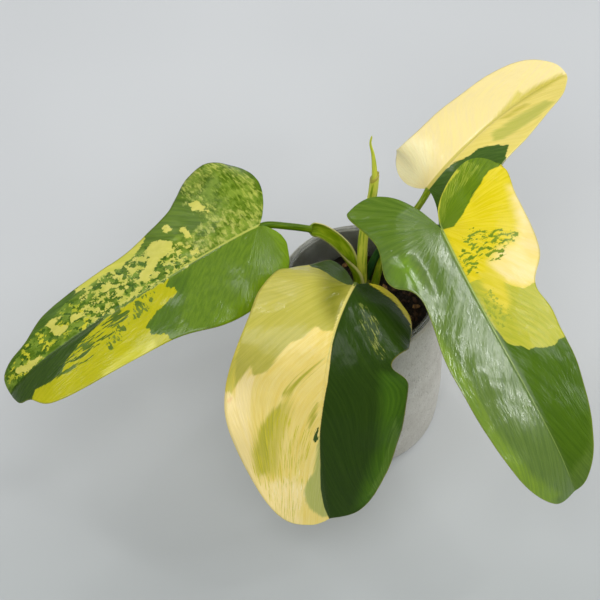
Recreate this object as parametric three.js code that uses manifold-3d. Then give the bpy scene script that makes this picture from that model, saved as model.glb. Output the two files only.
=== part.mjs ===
// Potted variegated fiddle-leaf philodendron: four leaves and a new shoot in a nursery pot,
// which hangs by its flange in a grey cover pot.
// Millimetres, +Z up. The origin is the centre of the cover pot's foot, on the surface it stands on.

import * as THREE from 'three';
import { mergeVertices } from 'three/addons/utils/BufferGeometryUtils.js';
import Module from 'manifold-3d';

const wasm = await Module();
wasm.setup();

// Driving dimensions
const GAP = 0.3;
const ROUND_STEPS = 48;

const COVER_POT = {
  height: 115.3, footRadius: 44, footEdge: [[3.4, 2], [5, 6]], bellyRadius: 50.5, bellyHeight: 32,
  shoulderHeight: 72, shoulder: 0.45, neckRadius: 47, neckHeight: 104, rimOuterRadius: 46.6,
  rimInnerRadius: 43.2, rimEdge: 1, wall: 4.2, floor: 6, hollowShoulderHeight: 64, hollowShoulder: 0.6,
};

const NURSERY_POT = {
  flangeRadius: 45, flangeThickness: 1.6, topRadius: 42.4, footRadius: 34, wall: 0.9, floor: 1.2,
  footHeight: 21, drainHoles: 6, drainRadius: 3, drainCircle: 22,
};
const FLANGE_TOP = COVER_POT.height + GAP + NURSERY_POT.flangeThickness;

const MIX = {
  level: 94, mound: 3, lump: 0.78, rings: 13, chips: 26, chipLength: 7, chipWidth: 2.8,
  chipHeight: 1.8, chipReach: 35, seed: 7,
};
// Each wave of the mix has a height, its turns in radians for a millimetre of x and of y, and a start.
const MIX_WAVES = [[0.5, 0.31, 0.27, 0.8], [0.5, 0.31, -0.27, 0.8], [0.6, 0.7, 0.9, 1], [0.4, 1.3, -0.8, 2]];

const STEM = {
  x: 1.6, y: 11.8, top: 106.5, bottom: 86, radius: 5, nodeRadius: 5.6, nodes: [98, 104.4],
  nodeReach: 1.5, topEdge: 0.6, steps: 24,
};

const PETIOLE_RADIUS = 2;
const PETIOLE_STEPS = 26;
const STALK_SIDES = 12;

// Each midrib is a cubic curve from the leaf stalk to the tip. rise and edgeRise are the slopes of a
// half blade at the midrib and out at its side, in degrees, at the lobes, the middle and the tip.
// Outlines are half widths and places along the midrib, in percent of the leaf's length, from the
// sinus round the basal lobe and along the margin to the tip.
const BLADE = { thickness: 0.9, midribDepth: 1.5, rows: 4, columns: 5, sideWidth: 45, veinBend: 0.55 };
const BLADE_START = 1.2;
const BLADE_TIP = 100;
const ROOT_POWER = 1.75;

const LEAVES = {
  leaf_left: {
    midrib: [[-55, 16, 155], [-74, 0, 165], [-215, -76, 122], [-193, -64, 95]],
    roll: [-4, -2], heel: 0, wave: 1.8,
    left: {
      rise: [-18, -6, 2], edgeRise: [-38, -22, -8], phase: 0.1,
      outline: [[5, -3.6], [8.5, -4.4], [16, -0.5], [20.5, 9], [22, 27], [17.5, 43.5],
        [16, 66], [12.5, 84], [3, 92.5], [0, 100]],
    },
    right: {
      rise: [8, 0, 8], edgeRise: [-18, -18, -8], phase: 0.35,
      outline: [[10.5, -8], [24, -12], [29.5, -4.5], [31, 10], [20, 24], [15.5, 45],
        [13.5, 70], [8.5, 82.5], [6, 92], [0, 100]],
    },
  },
  leaf_front: {
    midrib: [[-4, -25, 154], [-19, -73, 181], [-31, -93, 119], [-17, -115, 54]],
    roll: [-12, 12], heel: 0, wave: 1.8,
    left: {
      rise: [2, -2, 20], edgeRise: [-38, -30, -5], phase: 0.3,
      outline: [[4, -4.5], [9, -7.5], [18, -6.5], [24, -2.5], [27, 17], [22, 31], [29.5, 41],
        [28, 67], [18.5, 90], [10.5, 99], [0, 100]],
    },
    right: {
      rise: [-2, 8, 14], edgeRise: [-36, -4, -8], phase: 0.1,
      outline: [[5.5, -7], [12, -12.5], [19, -7], [24.5, -4], [29.5, 13], [30, 29], [33.5, 50],
        [29.5, 65.5], [18.2, 90], [8, 98.4], [0, 100]],
    },
  },
  leaf_right: {
    midrib: [[43, 3, 170], [69, -63, 158], [104, -111, 134], [116, -119, 90]],
    roll: [-3, 12], heel: 0.003, wave: 1.8,
    left: {
      rise: [22, 7, 16], edgeRise: [-10, -22, -10], phase: 0.2,
      outline: [[8.5, -12], [28, -13], [27.5, -1], [28.5, 18], [20, 30.5], [21, 42.5],
        [17.5, 67.5], [11.5, 85.5], [5, 98], [0, 100]],
    },
    right: {
      rise: [22, 18, 6], edgeRise: [-22, -5, -10], phase: 0.45,
      outline: [[10.5, -11], [28, -13], [23.5, 1.5], [25, 13.5], [18, 23.5], [20.5, 45],
        [19, 67], [15.5, 86], [8.5, 98], [0, 100]],
    },
  },
  leaf_back: {
    midrib: [[37, 39, 156], [56, 50, 184], [91, 110, 155], [125, 138, 145]],
    roll: [-14, 0], heel: 0, wave: 1.5,
    left: {
      rise: [0, 12, 18], edgeRise: [2, -6, -2], phase: 0,
      outline: [[10, -4.5], [22, -5.5], [28.5, -2.5], [24.5, 9.5], [20.5, 29.5], [20.5, 46.5],
        [18.5, 67], [15, 86.5], [7, 98], [0, 100]],
    },
    right: {
      rise: [-10, 3, 10], edgeRise: [-12, -6, -2], phase: 0.4,
      outline: [[12, -2.5], [20, -8.5], [27, -3], [23.5, 11], [19, 25.5], [17.5, 44.5],
        [14, 66], [10, 84.5], [4, 96], [0, 100]],
    },
  },
};
const WAVES_ALONG_BLADE = 3.5;

// Routes of the leaf stalks, from the stem to the blade, where they run on under the midrib
const PETIOLES = {
  petiole_front: {
    leaf: 'leaf_front',
    route: [[1.1, 9.7, 99], [-1.1, -0.7, 116], [-2.9, -12.3, 134], [-3.9, -22.8, 149]],
  },
  petiole_right: {
    leaf: 'leaf_right',
    route: [[4, 15.4, 101], [6.6, 16.5, 115], [11.5, 18.9, 127], [22, 11.3, 146], [32.5, 6.9, 159],
      [41.5, 3.5, 167]],
  },
  petiole_back: {
    leaf: 'leaf_back',
    route: [[5.8, 10.6, 99.6], [8.4, 11.2, 102.5], [10.2, 13.8, 110], [12.3, 17.1, 118],
      [20, 23.7, 132], [27.1, 28.1, 142], [32.7, 32.7, 149], [36.2, 37.2, 151.8]],
  },
};
const STALK_UNDER_BLADE = { reach: 0.025, below: 2.5 };

// The youngest leaf stalk has a broad channelled sheath, open towards the new shoot
const SHEATHED_PETIOLE = {
  leaf: 'leaf_left',
  route: [[1.5, 12, 106.8], [0.2, 14.4, 113], [-4.6, 18.4, 121], [-12.5, 22.4, 130], [-21.7, 23.8, 138],
    [-29.1, 21.6, 143], [-39.8, 19, 148.5], [-53.5, 16.6, 152.8]],
  sheathEnd: 0.56, blend: 0.05, baseRadius: 4.7, mouthRadius: 4.1, wall: 1.1, spread: 102,
  openAtBase: [1, 0.15, 0], openAtEnd: [0.2, -0.55, 0.8],
};

const SHOOT = {
  route: [[1.5, 11.7, 107], [1.3, 15.5, 122], [1.6, 19.1, 136], [3, 22.5, 150], [6, 25.4, 167],
    [6.9, 27.9, 184], [5.8, 30.7, 197], [4.2, 32.5, 205], [4.9, 33.2, 210]],
  sheathTo: 0.73, spearFrom: 0.6, sheathRadius: 3, sheathMouthRadius: 2.6, beak: 2.6,
  spearRadius: 1.55, tipRadius: 0.55, steps: 22,
};

const DRY_SCALE = {
  radius: 5.9, thickness: 0.7, from: 150, to: 255, bottom: 99.8, top: 111, topWidth: 0.35,
  flare: 0.12, cornerDrop: 1.5, steps: 10, rows: 5,
};

const MATERIALS = {
  cover_pot: { color: 0xa5a39b, roughness: 0.85, metalness: 0 },
  nursery_pot: { color: 0xb9bcb8, roughness: 0.25, metalness: 0 },
  potting_mix: { color: 0x2b211b, roughness: 0.95, metalness: 0 },
  main_stem: { color: 0x7d8a2c, roughness: 0.5, metalness: 0 },
  dry_scale: { color: 0x7a5a34, roughness: 0.9, metalness: 0 },
  petiole: { color: 0x7f9a2e, roughness: 0.4, metalness: 0 },
  leaf_left: { color: 0x76993a, roughness: 0.35, metalness: 0 },
  leaf_front: { color: 0xb9b65c, roughness: 0.4, metalness: 0 },
  leaf_right: { color: 0x6f9a3e, roughness: 0.3, metalness: 0 },
  leaf_back: { color: 0xf0e3a4, roughness: 0.5, metalness: 0 },
  shoot: { color: 0xb3bd3c, roughness: 0.4, metalness: 0 },
};

const UP = new THREE.Vector3(0, 0, 1);
const vector = ([x, y, z]) => new THREE.Vector3(x, y, z);
const mix = THREE.MathUtils.lerp;
const smooth = (value) => THREE.MathUtils.smoothstep(value, 0, 1);
const radians = THREE.MathUtils.degToRad;

// Closed meshes

function geometryFrom(points, triangles) {
  const geometry = new THREE.BufferGeometry();
  const numbers = points.flatMap((p) => [p.x, p.y, p.z]);
  geometry.setAttribute('position', new THREE.Float32BufferAttribute(numbers, 3));
  geometry.setIndex(triangles);
  return geometry;
}

function signedVolume(position, index) {
  const corners = [new THREE.Vector3(), new THREE.Vector3(), new THREE.Vector3()];
  let volume = 0;
  for (let i = 0; i < index.length; i += 3) {
    corners.forEach((corner, k) => corner.fromBufferAttribute(position, index[i + k]));
    volume += corners[0].dot(corners[1].clone().cross(corners[2])) / 6;
  }
  return volume;
}

// Merges shared vertices, drops empty triangles and turns the faces outwards.
function closed(geometry) {
  geometry.deleteAttribute('normal');
  geometry.deleteAttribute('uv');
  const merged = mergeVertices(geometry, 1e-4);
  const index = [];
  const all = merged.index.array;
  for (let i = 0; i < all.length; i += 3) {
    const [a, b, c] = [all[i], all[i + 1], all[i + 2]];
    if (a !== b && b !== c && c !== a) index.push(a, b, c);
  }
  if (signedVolume(merged.getAttribute('position'), index) < 0) index.reverse();
  merged.setIndex(index);
  return merged;
}

function toSolid(geometry) {
  return new wasm.Manifold(new wasm.Mesh({
    numProp: 3,
    vertProperties: new Float32Array(geometry.getAttribute('position').array),
    triVerts: new Uint32Array(geometry.index.array),
  }));
}

function fromSolid(solid) {
  const mesh = solid.getMesh();
  const geometry = new THREE.BufferGeometry();
  geometry.setAttribute('position', new THREE.BufferAttribute(mesh.vertProperties, 3));
  geometry.setIndex(new THREE.BufferAttribute(mesh.triVerts, 1));
  return geometry;
}

// The largest piece that is left when the tools are taken away.
function cut(geometry, tools) {
  const rest = tools.reduce((solid, tool) => solid.subtract(toSolid(tool)), toSolid(geometry));
  const pieces = rest.decompose().sort((a, b) => b.volume() - a.volume());
  return fromSolid(pieces[0]);
}

function lathe(profile, steps = ROUND_STEPS) {
  const geometry = new THREE.LatheGeometry(profile.map(([r, z]) => new THREE.Vector2(r, z)), steps);
  geometry.rotateX(Math.PI / 2);
  return closed(geometry);
}

// Joins rings of points into one body. A ring runs along its outer side and back along its inner side,
// so its ends are closed by strips between the two.
function loft(rings) {
  const count = rings[0].length;
  const triangles = [];
  for (let row = 0; row < rings.length - 1; row += 1) {
    for (let k = 0; k < count; k += 1) {
      const a = row * count + k;
      const b = row * count + (k + 1) % count;
      triangles.push(a, b, a + count, b, b + count, a + count);
    }
  }
  for (const [row, flip] of [[0, true], [rings.length - 1, false]]) {
    for (let k = 0; k < count / 2 - 1; k += 1) {
      const [a, b] = [row * count + k, row * count + k + 1];
      const [c, d] = [row * count + count - 1 - k, row * count + count - 2 - k];
      if (flip) triangles.push(a, c, b, c, d, b);
      else triangles.push(a, b, c, b, d, c);
    }
  }
  return closed(geometryFrom(rings.flat(), triangles));
}

// A section with a lower arc and, back over it, either the rest of the circle or a channel.
function section(radius, spread = 90, wall = radius, open = 0) {
  const half = STALK_SIDES / 2;
  const lower = [];
  const upper = [];
  for (let k = 0; k <= half; k += 1) {
    const part = k / half;
    const angle = radians(mix(-spread, spread, part));
    lower.push([radius * Math.sin(angle), -radius * Math.cos(angle)]);
    const back = radians(mix(spread, 360 - spread, part));
    const inside = radians(mix(spread, -spread, part));
    const roof = [radius * Math.sin(back), -radius * Math.cos(back)];
    const channel = [(radius - wall) * Math.sin(inside), -(radius - wall) * Math.cos(inside)];
    if (k > 0 && k < half) upper.push([mix(roof[0], channel[0], open), mix(roof[1], channel[1], open)]);
    else if (open > 0) upper.push([mix(roof[0], channel[0], open), mix(roof[1], channel[1], open)]);
    else upper.push([roof[0] * 0.999, roof[1] + 0.001]);
  }
  return [...lower, ...upper];
}

// Sweeps sections along a route; openTo gives the direction in which each section's channel opens.
function sweep(route, steps, sectionAt, openTo, from = 0, to = 1) {
  const rings = [];
  for (let row = 0; row <= steps; row += 1) {
    const part = mix(from, to, row / steps);
    const centre = route.getPointAt(part);
    const along = route.getTangentAt(part);
    const side = along.clone().cross(openTo(part)).normalize();
    const open = side.clone().cross(along).normalize();
    rings.push(sectionAt(part).map(([x, y, push = 0]) => centre.clone()
      .addScaledVector(side, x).addScaledVector(open, y).addScaledVector(along, push)));
  }
  return loft(rings);
}

const towardsViewer = new THREE.Vector3(0.3, -1, 0.2);

// Pots

function coverPot() {
  const p = COVER_POT;
  const inner = (radius) => radius - p.wall;
  return lathe([
    [0, 0], [p.footRadius, 0], ...p.footEdge.map(([out, z]) => [p.footRadius + out, z]),
    [p.bellyRadius, p.bellyHeight], [mix(p.bellyRadius, p.neckRadius, p.shoulder), p.shoulderHeight],
    [p.neckRadius, p.neckHeight], [p.rimOuterRadius, p.height - p.rimEdge],
    [p.rimOuterRadius - p.rimEdge, p.height], [p.rimInnerRadius, p.height],
    [p.rimInnerRadius, p.neckHeight], [inner(p.bellyRadius) - p.hollowShoulder, p.hollowShoulderHeight],
    [inner(p.bellyRadius), p.bellyHeight], [p.footRadius - p.rimEdge, p.floor], [0, p.floor],
  ]);
}

function nurseryPotRadius(z) {
  const p = NURSERY_POT;
  return mix(p.footRadius, p.topRadius, (z - p.footHeight) / (FLANGE_TOP - p.footHeight));
}

function nurseryPot() {
  const p = NURSERY_POT;
  const flangeUnder = FLANGE_TOP - p.flangeThickness;
  const shell = lathe([
    [0, p.footHeight], [p.footRadius, p.footHeight], [nurseryPotRadius(flangeUnder), flangeUnder],
    [p.flangeRadius, flangeUnder], [p.flangeRadius, FLANGE_TOP], [p.topRadius - p.wall, FLANGE_TOP],
    [p.footRadius - p.wall, p.footHeight + p.floor], [0, p.footHeight + p.floor],
  ]);
  const holes = Array.from({ length: p.drainHoles }, (_, k) => {
    const hole = new THREE.CylinderGeometry(p.drainRadius, p.drainRadius, p.floor * 3, 12);
    const angle = (2 * Math.PI * k) / p.drainHoles;
    hole.rotateX(Math.PI / 2);
    hole.translate(p.drainCircle * Math.cos(angle), p.drainCircle * Math.sin(angle), p.footHeight);
    return closed(hole);
  });
  return cut(shell, holes);
}

// Potting mix

function seededRandom(seed) {
  let state = seed;
  return () => {
    state = (state * 1664525 + 1013904223) % 4294967296;
    return state / 4294967296;
  };
}

function mixSurface(x, y) {
  const far = Math.hypot(x - STEM.x, y - STEM.y) / NURSERY_POT.topRadius;
  let lumps = 0;
  for (const [height, alongX, alongY, start] of MIX_WAVES) {
    lumps += height * Math.sin(alongX * x + alongY * y + start);
  }
  return MIX.level + MIX.mound * (1 - far * far) + MIX.lump * lumps;
}

function pottingMix() {
  const p = NURSERY_POT;
  const bottom = p.footHeight + p.floor + GAP;
  const innerRadius = (z) => nurseryPotRadius(z) - p.wall - GAP;
  const points = [];
  const triangles = [];
  const surfaceRadius = innerRadius(MIX.level - MIX.mound);
  const rings = Array.from({ length: MIX.rings }, (_, ring) => ((ring + 1) / MIX.rings) * surfaceRadius);
  points.push(new THREE.Vector3(0, 0, mixSurface(0, 0)));
  const ringPoint = (radius, k, z) => {
    const angle = (2 * Math.PI * k) / ROUND_STEPS;
    const [x, y] = [radius * Math.cos(angle), radius * Math.sin(angle)];
    return new THREE.Vector3(x, y, z ?? mixSurface(x, y));
  };
  for (const radius of rings) for (let k = 0; k < ROUND_STEPS; k += 1) points.push(ringPoint(radius, k));
  for (let k = 0; k < ROUND_STEPS; k += 1) points.push(ringPoint(innerRadius(bottom), k, bottom));
  const bottomCentre = points.push(new THREE.Vector3(0, 0, bottom)) - 1;
  const at = (ring, k) => 1 + ring * ROUND_STEPS + (k % ROUND_STEPS);
  for (let k = 0; k < ROUND_STEPS; k += 1) {
    triangles.push(0, at(0, k), at(0, k + 1));
    for (let ring = 0; ring < MIX.rings; ring += 1) {
      triangles.push(at(ring, k), at(ring + 1, k), at(ring + 1, k + 1));
      triangles.push(at(ring, k), at(ring + 1, k + 1), at(ring, k + 1));
    }
    triangles.push(at(MIX.rings, k), bottomCentre, at(MIX.rings, k + 1));
  }
  let solid = toSolid(closed(geometryFrom(points, triangles)));
  for (const chip of barkChips()) solid = solid.add(toSolid(chip));
  const hole = new THREE.CylinderGeometry(STEM.nodeRadius + GAP, STEM.nodeRadius + GAP, 40, STEM.steps);
  hole.rotateX(Math.PI / 2);
  hole.translate(STEM.x, STEM.y, STEM.bottom - GAP + 20);
  return cut(fromSolid(solid), [closed(hole)]);
}

function barkChips() {
  const random = seededRandom(MIX.seed);
  const chips = [];
  while (chips.length < MIX.chips) {
    const radius = MIX.chipReach * Math.sqrt(random());
    const angle = 2 * Math.PI * random();
    const [x, y] = [radius * Math.cos(angle), radius * Math.sin(angle)];
    const size = 0.5 + 0.7 * random();
    const turn = Math.PI * random();
    const tilt = 0.5 * (random() - 0.5);
    const clear = Math.hypot(x - STEM.x, y - STEM.y) - MIX.chipLength > STEM.nodeRadius;
    if (clear) {
      const chip = new THREE.BoxGeometry(MIX.chipLength * size, MIX.chipWidth * size, MIX.chipHeight);
      chip.rotateY(tilt);
      chip.rotateZ(turn);
      chip.translate(x, y, mixSurface(x, y) + 0.2);
      chips.push(closed(chip));
    }
  }
  return chips;
}

// Stems

function mainStem(extra = 0) {
  const { radius, nodeRadius, nodes, nodeReach, top, topEdge, bottom } = STEM;
  const stem = lathe([
    [0, bottom - extra], [radius + extra, bottom - extra], [radius + extra, nodes[0] - nodeReach],
    [nodeRadius + extra, nodes[0]], [radius + extra, nodes[0] + nodeReach],
    [radius + extra, nodes[1] - nodeReach], [nodeRadius + extra, nodes[1]],
    [radius + extra, top - topEdge], [radius - topEdge + extra, top + extra], [0, top + extra],
  ], STEM.steps);
  stem.translate(STEM.x, STEM.y, 0);
  return stem;
}

function dryScale() {
  const { radius, thickness, from, to, bottom, top, topWidth, cornerDrop, steps, rows } = DRY_SCALE;
  const rings = [];
  for (let row = 0; row <= rows; row += 1) {
    const height = row / rows;
    const outer = [];
    const inner = [];
    for (let k = 0; k <= steps; k += 1) {
      const part = k / steps;
      const narrow = mix(1, topWidth, height * height);
      const angle = radians(mix(from, to, 0.5 + (part - 0.5) * narrow));
      const flare = 1 + DRY_SCALE.flare * height * height;
      const z = mix(bottom, top - cornerDrop * Math.abs(2 * part - 1), height);
      for (const [list, r] of [[outer, (radius + thickness) * flare], [inner, radius * flare]]) {
        list.push(new THREE.Vector3(STEM.x + r * Math.cos(angle), STEM.y + r * Math.sin(angle), z));
      }
    }
    rings.push([...outer, ...inner.reverse()]);
  }
  return loft(rings);
}

// The stalk's route, ending under the start of the blade that it carries
function stalkRoute({ leaf, route }) {
  const midrib = new THREE.CubicBezierCurve3(...LEAVES[leaf].midrib.map(vector));
  const end = midrib.getPointAt(STALK_UNDER_BLADE.reach).addScaledVector(UP, -STALK_UNDER_BLADE.below);
  return new THREE.CatmullRomCurve3([...route.map(vector), end]);
}

function roundPetiole(petiole, extra = 0) {
  const thick = (part) => PETIOLE_RADIUS * mix(1.25, 0.95, smooth(part * 2)) + extra;
  return sweep(stalkRoute(petiole), PETIOLE_STEPS, (part) => section(thick(part)), () => towardsViewer);
}

function sheathedPetiole(extra = 0) {
  const p = SHEATHED_PETIOLE;
  const sectionAt = (part) => {
    const solid = smooth((part - p.sheathEnd) / p.blend);
    const sheath = mix(p.baseRadius, p.mouthRadius, smooth(part / p.sheathEnd));
    const radius = mix(sheath, PETIOLE_RADIUS, solid) + extra;
    return section(radius, mix(p.spread, 90, solid), p.wall + 2 * extra, 1 - solid);
  };
  const openTo = (part) => vector(p.openAtBase).lerp(vector(p.openAtEnd), smooth(part / 0.4));
  return sweep(stalkRoute(p), PETIOLE_STEPS + 10, sectionAt, openTo);
}

// New shoot

const shootRoute = new THREE.CatmullRomCurve3(SHOOT.route.map(vector));

function spear(extra = 0) {
  const p = SHOOT;
  const sectionAt = (part) => {
    const taper = smooth((part - p.sheathTo) / (1 - p.sheathTo));
    return section(mix(p.spearRadius, p.tipRadius, taper) + extra);
  };
  return sweep(shootRoute, p.steps, sectionAt, () => towardsViewer, p.spearFrom, 1);
}

function shootSheath(extra = 0) {
  const p = SHOOT;
  const sectionAt = (part) => {
    const up = part / p.sheathTo;
    const radius = mix(p.sheathRadius, p.sheathMouthRadius, up) + extra;
    const beak = p.beak * smooth((up - 0.9) * 10);
    return section(radius).map(([x, y]) => [x, y, (beak * x) / radius]);
  };
  return sweep(shootRoute, p.steps, sectionAt, () => towardsViewer, 0, p.sheathTo);
}

// Leaves

function blendKeys([low, middle, high], along) {
  const first = smooth((along + 0.1) / 0.5);
  const second = smooth((along - 0.4) / 0.6);
  return low * (1 - first) + middle * (first - second) + high * second;
}

// Places a point of the flat leaf, x across and y along in mm, on the bent and folded blade.
function leafPlacer(leaf) {
  const curve = new THREE.CubicBezierCurve3(...leaf.midrib.map(vector));
  const length = curve.getLength();
  const place = (x, y) => {
    const along = y / length;
    const part = THREE.MathUtils.clamp(along, 0, 1);
    const forward = curve.getTangentAt(part);
    const plainUp = UP.clone().addScaledVector(forward, -forward.dot(UP)).normalize();
    const plainSide = forward.clone().cross(plainUp);
    const roll = radians(mix(leaf.roll[0], leaf.roll[1], part));
    const up = plainUp.clone().multiplyScalar(Math.cos(roll)).addScaledVector(plainSide, Math.sin(roll));
    const side = plainSide.clone().multiplyScalar(Math.cos(roll)).addScaledVector(plainUp, -Math.sin(roll));
    const behind = Math.min(y, 0);
    const half = x >= 0 ? leaf.right : leaf.left;
    const out = Math.abs(x);
    const start = radians(blendKeys(half.rise, along));
    const end = radians(blendKeys(half.edgeRise, along));
    const turn = (end - start) / BLADE.sideWidth || 1e-6;
    const across = (Math.sin(start + turn * out) - Math.sin(start)) / turn;
    const waves = Math.sin(2 * Math.PI * (WAVES_ALONG_BLADE * along + half.phase));
    const rise = (Math.cos(start) - Math.cos(start + turn * out)) / turn
      + leaf.wave * (out / BLADE.sideWidth) ** 2 * waves;
    return curve.getPointAt(part).addScaledVector(forward, behind)
      .addScaledVector(up, leaf.heel * behind * behind + rise)
      .addScaledVector(side, Math.sign(x) * across);
  };
  return { place, length };
}

// Rows of one half blade follow its side veins, from the midrib out to the margin.
function halfBladeRows(outline, roots) {
  const keys = outline.map(([x, y]) => new THREE.Vector2(x, y));
  const spans = keys.length - 1;
  const curve = new THREE.SplineCurve(keys);
  const [sinus, back] = keys;
  const along = sinus.x / back.x;
  const drop = (sinus.y - BLADE_START) / (back.y - BLADE_START);
  const sinusBend = (along - drop) / (along - along * along);
  return roots.map((root, row) => {
    const margin = curve.getPoint((1 + row / BLADE.rows) / spans);
    const bend = mix(sinusBend, BLADE.veinBend, smooth(row / BLADE.rows / 2));
    return Array.from({ length: BLADE.columns + 1 }, (_, k) => {
      const out = k / BLADE.columns;
      return [margin.x * out, root + (margin.y - root) * (out * (1 - bend) + out * out * bend)];
    });
  });
}

function veinRoots(leaf) {
  const rowCount = (leaf.left.outline.length - 2) * BLADE.rows + 1;
  const rootOf = (outline, row) => {
    const keys = outline.map(([x, y]) => new THREE.Vector2(x, y));
    const back = keys[1].y;
    const margin = new THREE.SplineCurve(keys).getPoint((1 + row / BLADE.rows) / (keys.length - 1));
    const part = THREE.MathUtils.clamp((margin.y - back) / (BLADE_TIP - back), 0, 1);
    return BLADE_START + (BLADE_TIP - BLADE_START) * part ** ROOT_POWER;
  };
  return Array.from({ length: rowCount }, (_, row) => (
    (rootOf(leaf.left.outline, row) + rootOf(leaf.right.outline, row)) / 2));
}

function leafBlade(leaf, extra = 0) {
  const { place, length } = leafPlacer(leaf);
  const roots = veinRoots(leaf);
  const columns = BLADE.columns;
  const top = [];
  const depth = [];
  for (const [sign, half] of [[-1, leaf.left], [1, leaf.right]]) {
    for (const row of halfBladeRows(half.outline, roots)) {
      row.forEach(([x, y], k) => {
        top.push(place((Math.max(x, 1e-6) * sign * length) / 100, (y * length) / 100));
        const rib = k === 0 ? BLADE.midribDepth * (1 - y / BLADE_TIP) : 0;
        depth.push(BLADE.thickness + rib + extra);
      });
    }
  }
  const perSide = roots.length * (columns + 1);
  const onMidrib = (row, k) => k === 0 || row === roots.length - 1;
  const at = (side, row, k) => row * (columns + 1) + (onMidrib(row, k) ? 0 : side * perSide + k);
  const faces = [];
  for (const side of [0, 1]) {
    for (let row = 0; row < roots.length - 1; row += 1) {
      for (let k = 0; k < columns; k += 1) {
        const [a, b] = [at(side, row, k), at(side, row, k + 1)];
        const [c, d] = [at(side, row + 1, k), at(side, row + 1, k + 1)];
        const pair = side === 0 ? [[a, c, b], [b, c, d]] : [[a, b, c], [b, d, c]];
        faces.push(...pair.filter((face) => new Set(face).size === 3).flat());
      }
    }
  }
  const sheet = geometryFrom(top, faces);
  sheet.computeVertexNormals();
  const normals = sheet.getAttribute('normal');
  const normal = (k) => new THREE.Vector3().fromBufferAttribute(normals, k);
  const upper = top.map((p, k) => p.clone().addScaledVector(normal(k), extra));
  const under = top.map((p, k) => p.clone().addScaledVector(normal(k), -depth[k]));
  const outlineLoop = edgeLoop(at, roots.length, columns);
  const triangles = [...faces];
  for (let i = 0; i < faces.length; i += 3) {
    triangles.push(faces[i] + top.length, faces[i + 2] + top.length, faces[i + 1] + top.length);
  }
  outlineLoop.forEach((a, k) => {
    const b = outlineLoop[(k + 1) % outlineLoop.length];
    triangles.push(a, a + top.length, b, b, a + top.length, b + top.length);
  });
  return closed(geometryFrom([...upper, ...under], triangles));
}

// The blade grown by the gap, upright and back past its sinus, for cutting what reaches it.
function bladeClearance(leaf) {
  const grown = leafBlade(leaf, GAP);
  const [start, next] = leaf.midrib.map(vector);
  const back = start.sub(next).setLength(GAP);
  return [grown, grown.clone().translate(back.x, back.y, back.z)];
}

// Vertices round the blade: out along the right sinus edge, up the right margin and back on the left.
function edgeLoop(at, rows, columns) {
  const loop = [];
  for (let k = 0; k <= columns; k += 1) loop.push(at(1, 0, k));
  for (let row = 1; row < rows - 1; row += 1) loop.push(at(1, row, columns));
  loop.push(at(0, rows - 1, 0));
  for (let row = rows - 2; row > 0; row -= 1) loop.push(at(0, row, columns));
  for (let k = columns; k > 0; k -= 1) loop.push(at(0, 0, k));
  return loop;
}

// Assembly

const plant = new THREE.Group();

function add(name, geometry, look) {
  const mesh = new THREE.Mesh(geometry, new THREE.MeshStandardMaterial(look));
  mesh.name = name;
  plant.add(mesh);
}

const grownBlades = Object.values(LEAVES).flatMap(bladeClearance);
const grownStem = mainStem(GAP);
const grownShoot = shootSheath(GAP);

add('cover_pot', coverPot(), MATERIALS.cover_pot);
add('nursery_pot', nurseryPot(), MATERIALS.nursery_pot);
add('potting_mix', pottingMix(), MATERIALS.potting_mix);
add('main_stem', mainStem(), MATERIALS.main_stem);
const grownPetioles = Object.values(PETIOLES).map((petiole) => roundPetiole(petiole, GAP));
add('dry_scale', cut(dryScale(), [grownStem, sheathedPetiole(GAP), ...grownPetioles]), MATERIALS.dry_scale);
for (const [name, petiole] of Object.entries(PETIOLES)) {
  add(name, cut(roundPetiole(petiole), [grownStem, grownShoot, ...grownBlades]), MATERIALS.petiole);
}
add('petiole_left', cut(sheathedPetiole(), [grownStem, grownShoot, ...grownBlades]), MATERIALS.petiole);
add('shoot_sheath', cut(shootSheath(), [grownStem, spear(GAP)]), MATERIALS.shoot);
add('new_leaf_spear', spear(), MATERIALS.shoot);
for (const [name, leaf] of Object.entries(LEAVES)) add(name, leafBlade(leaf), MATERIALS[name]);

export default plant;
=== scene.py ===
import math
import random

import bmesh
import bpy
import numpy as np
from mathutils import Matrix, Vector, noise


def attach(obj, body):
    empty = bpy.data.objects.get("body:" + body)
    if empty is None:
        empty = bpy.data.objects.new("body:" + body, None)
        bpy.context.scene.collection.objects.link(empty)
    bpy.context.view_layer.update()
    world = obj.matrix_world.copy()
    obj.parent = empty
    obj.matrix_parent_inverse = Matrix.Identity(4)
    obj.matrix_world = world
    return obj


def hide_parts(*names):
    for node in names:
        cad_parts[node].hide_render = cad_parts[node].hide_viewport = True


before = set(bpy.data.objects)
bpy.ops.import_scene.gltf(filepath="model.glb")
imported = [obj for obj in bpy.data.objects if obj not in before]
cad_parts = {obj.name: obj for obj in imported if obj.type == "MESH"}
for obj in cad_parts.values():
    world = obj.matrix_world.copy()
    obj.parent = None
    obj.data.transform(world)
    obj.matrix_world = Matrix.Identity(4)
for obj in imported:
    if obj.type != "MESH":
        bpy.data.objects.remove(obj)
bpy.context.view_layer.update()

# A young variegated philodendron in a clear nursery pot that hangs in a grey cement cover pot.
# Sizes are in millimetres and are turned into metres when a mesh is made.
MM = 0.001
BODY = "root"

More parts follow.
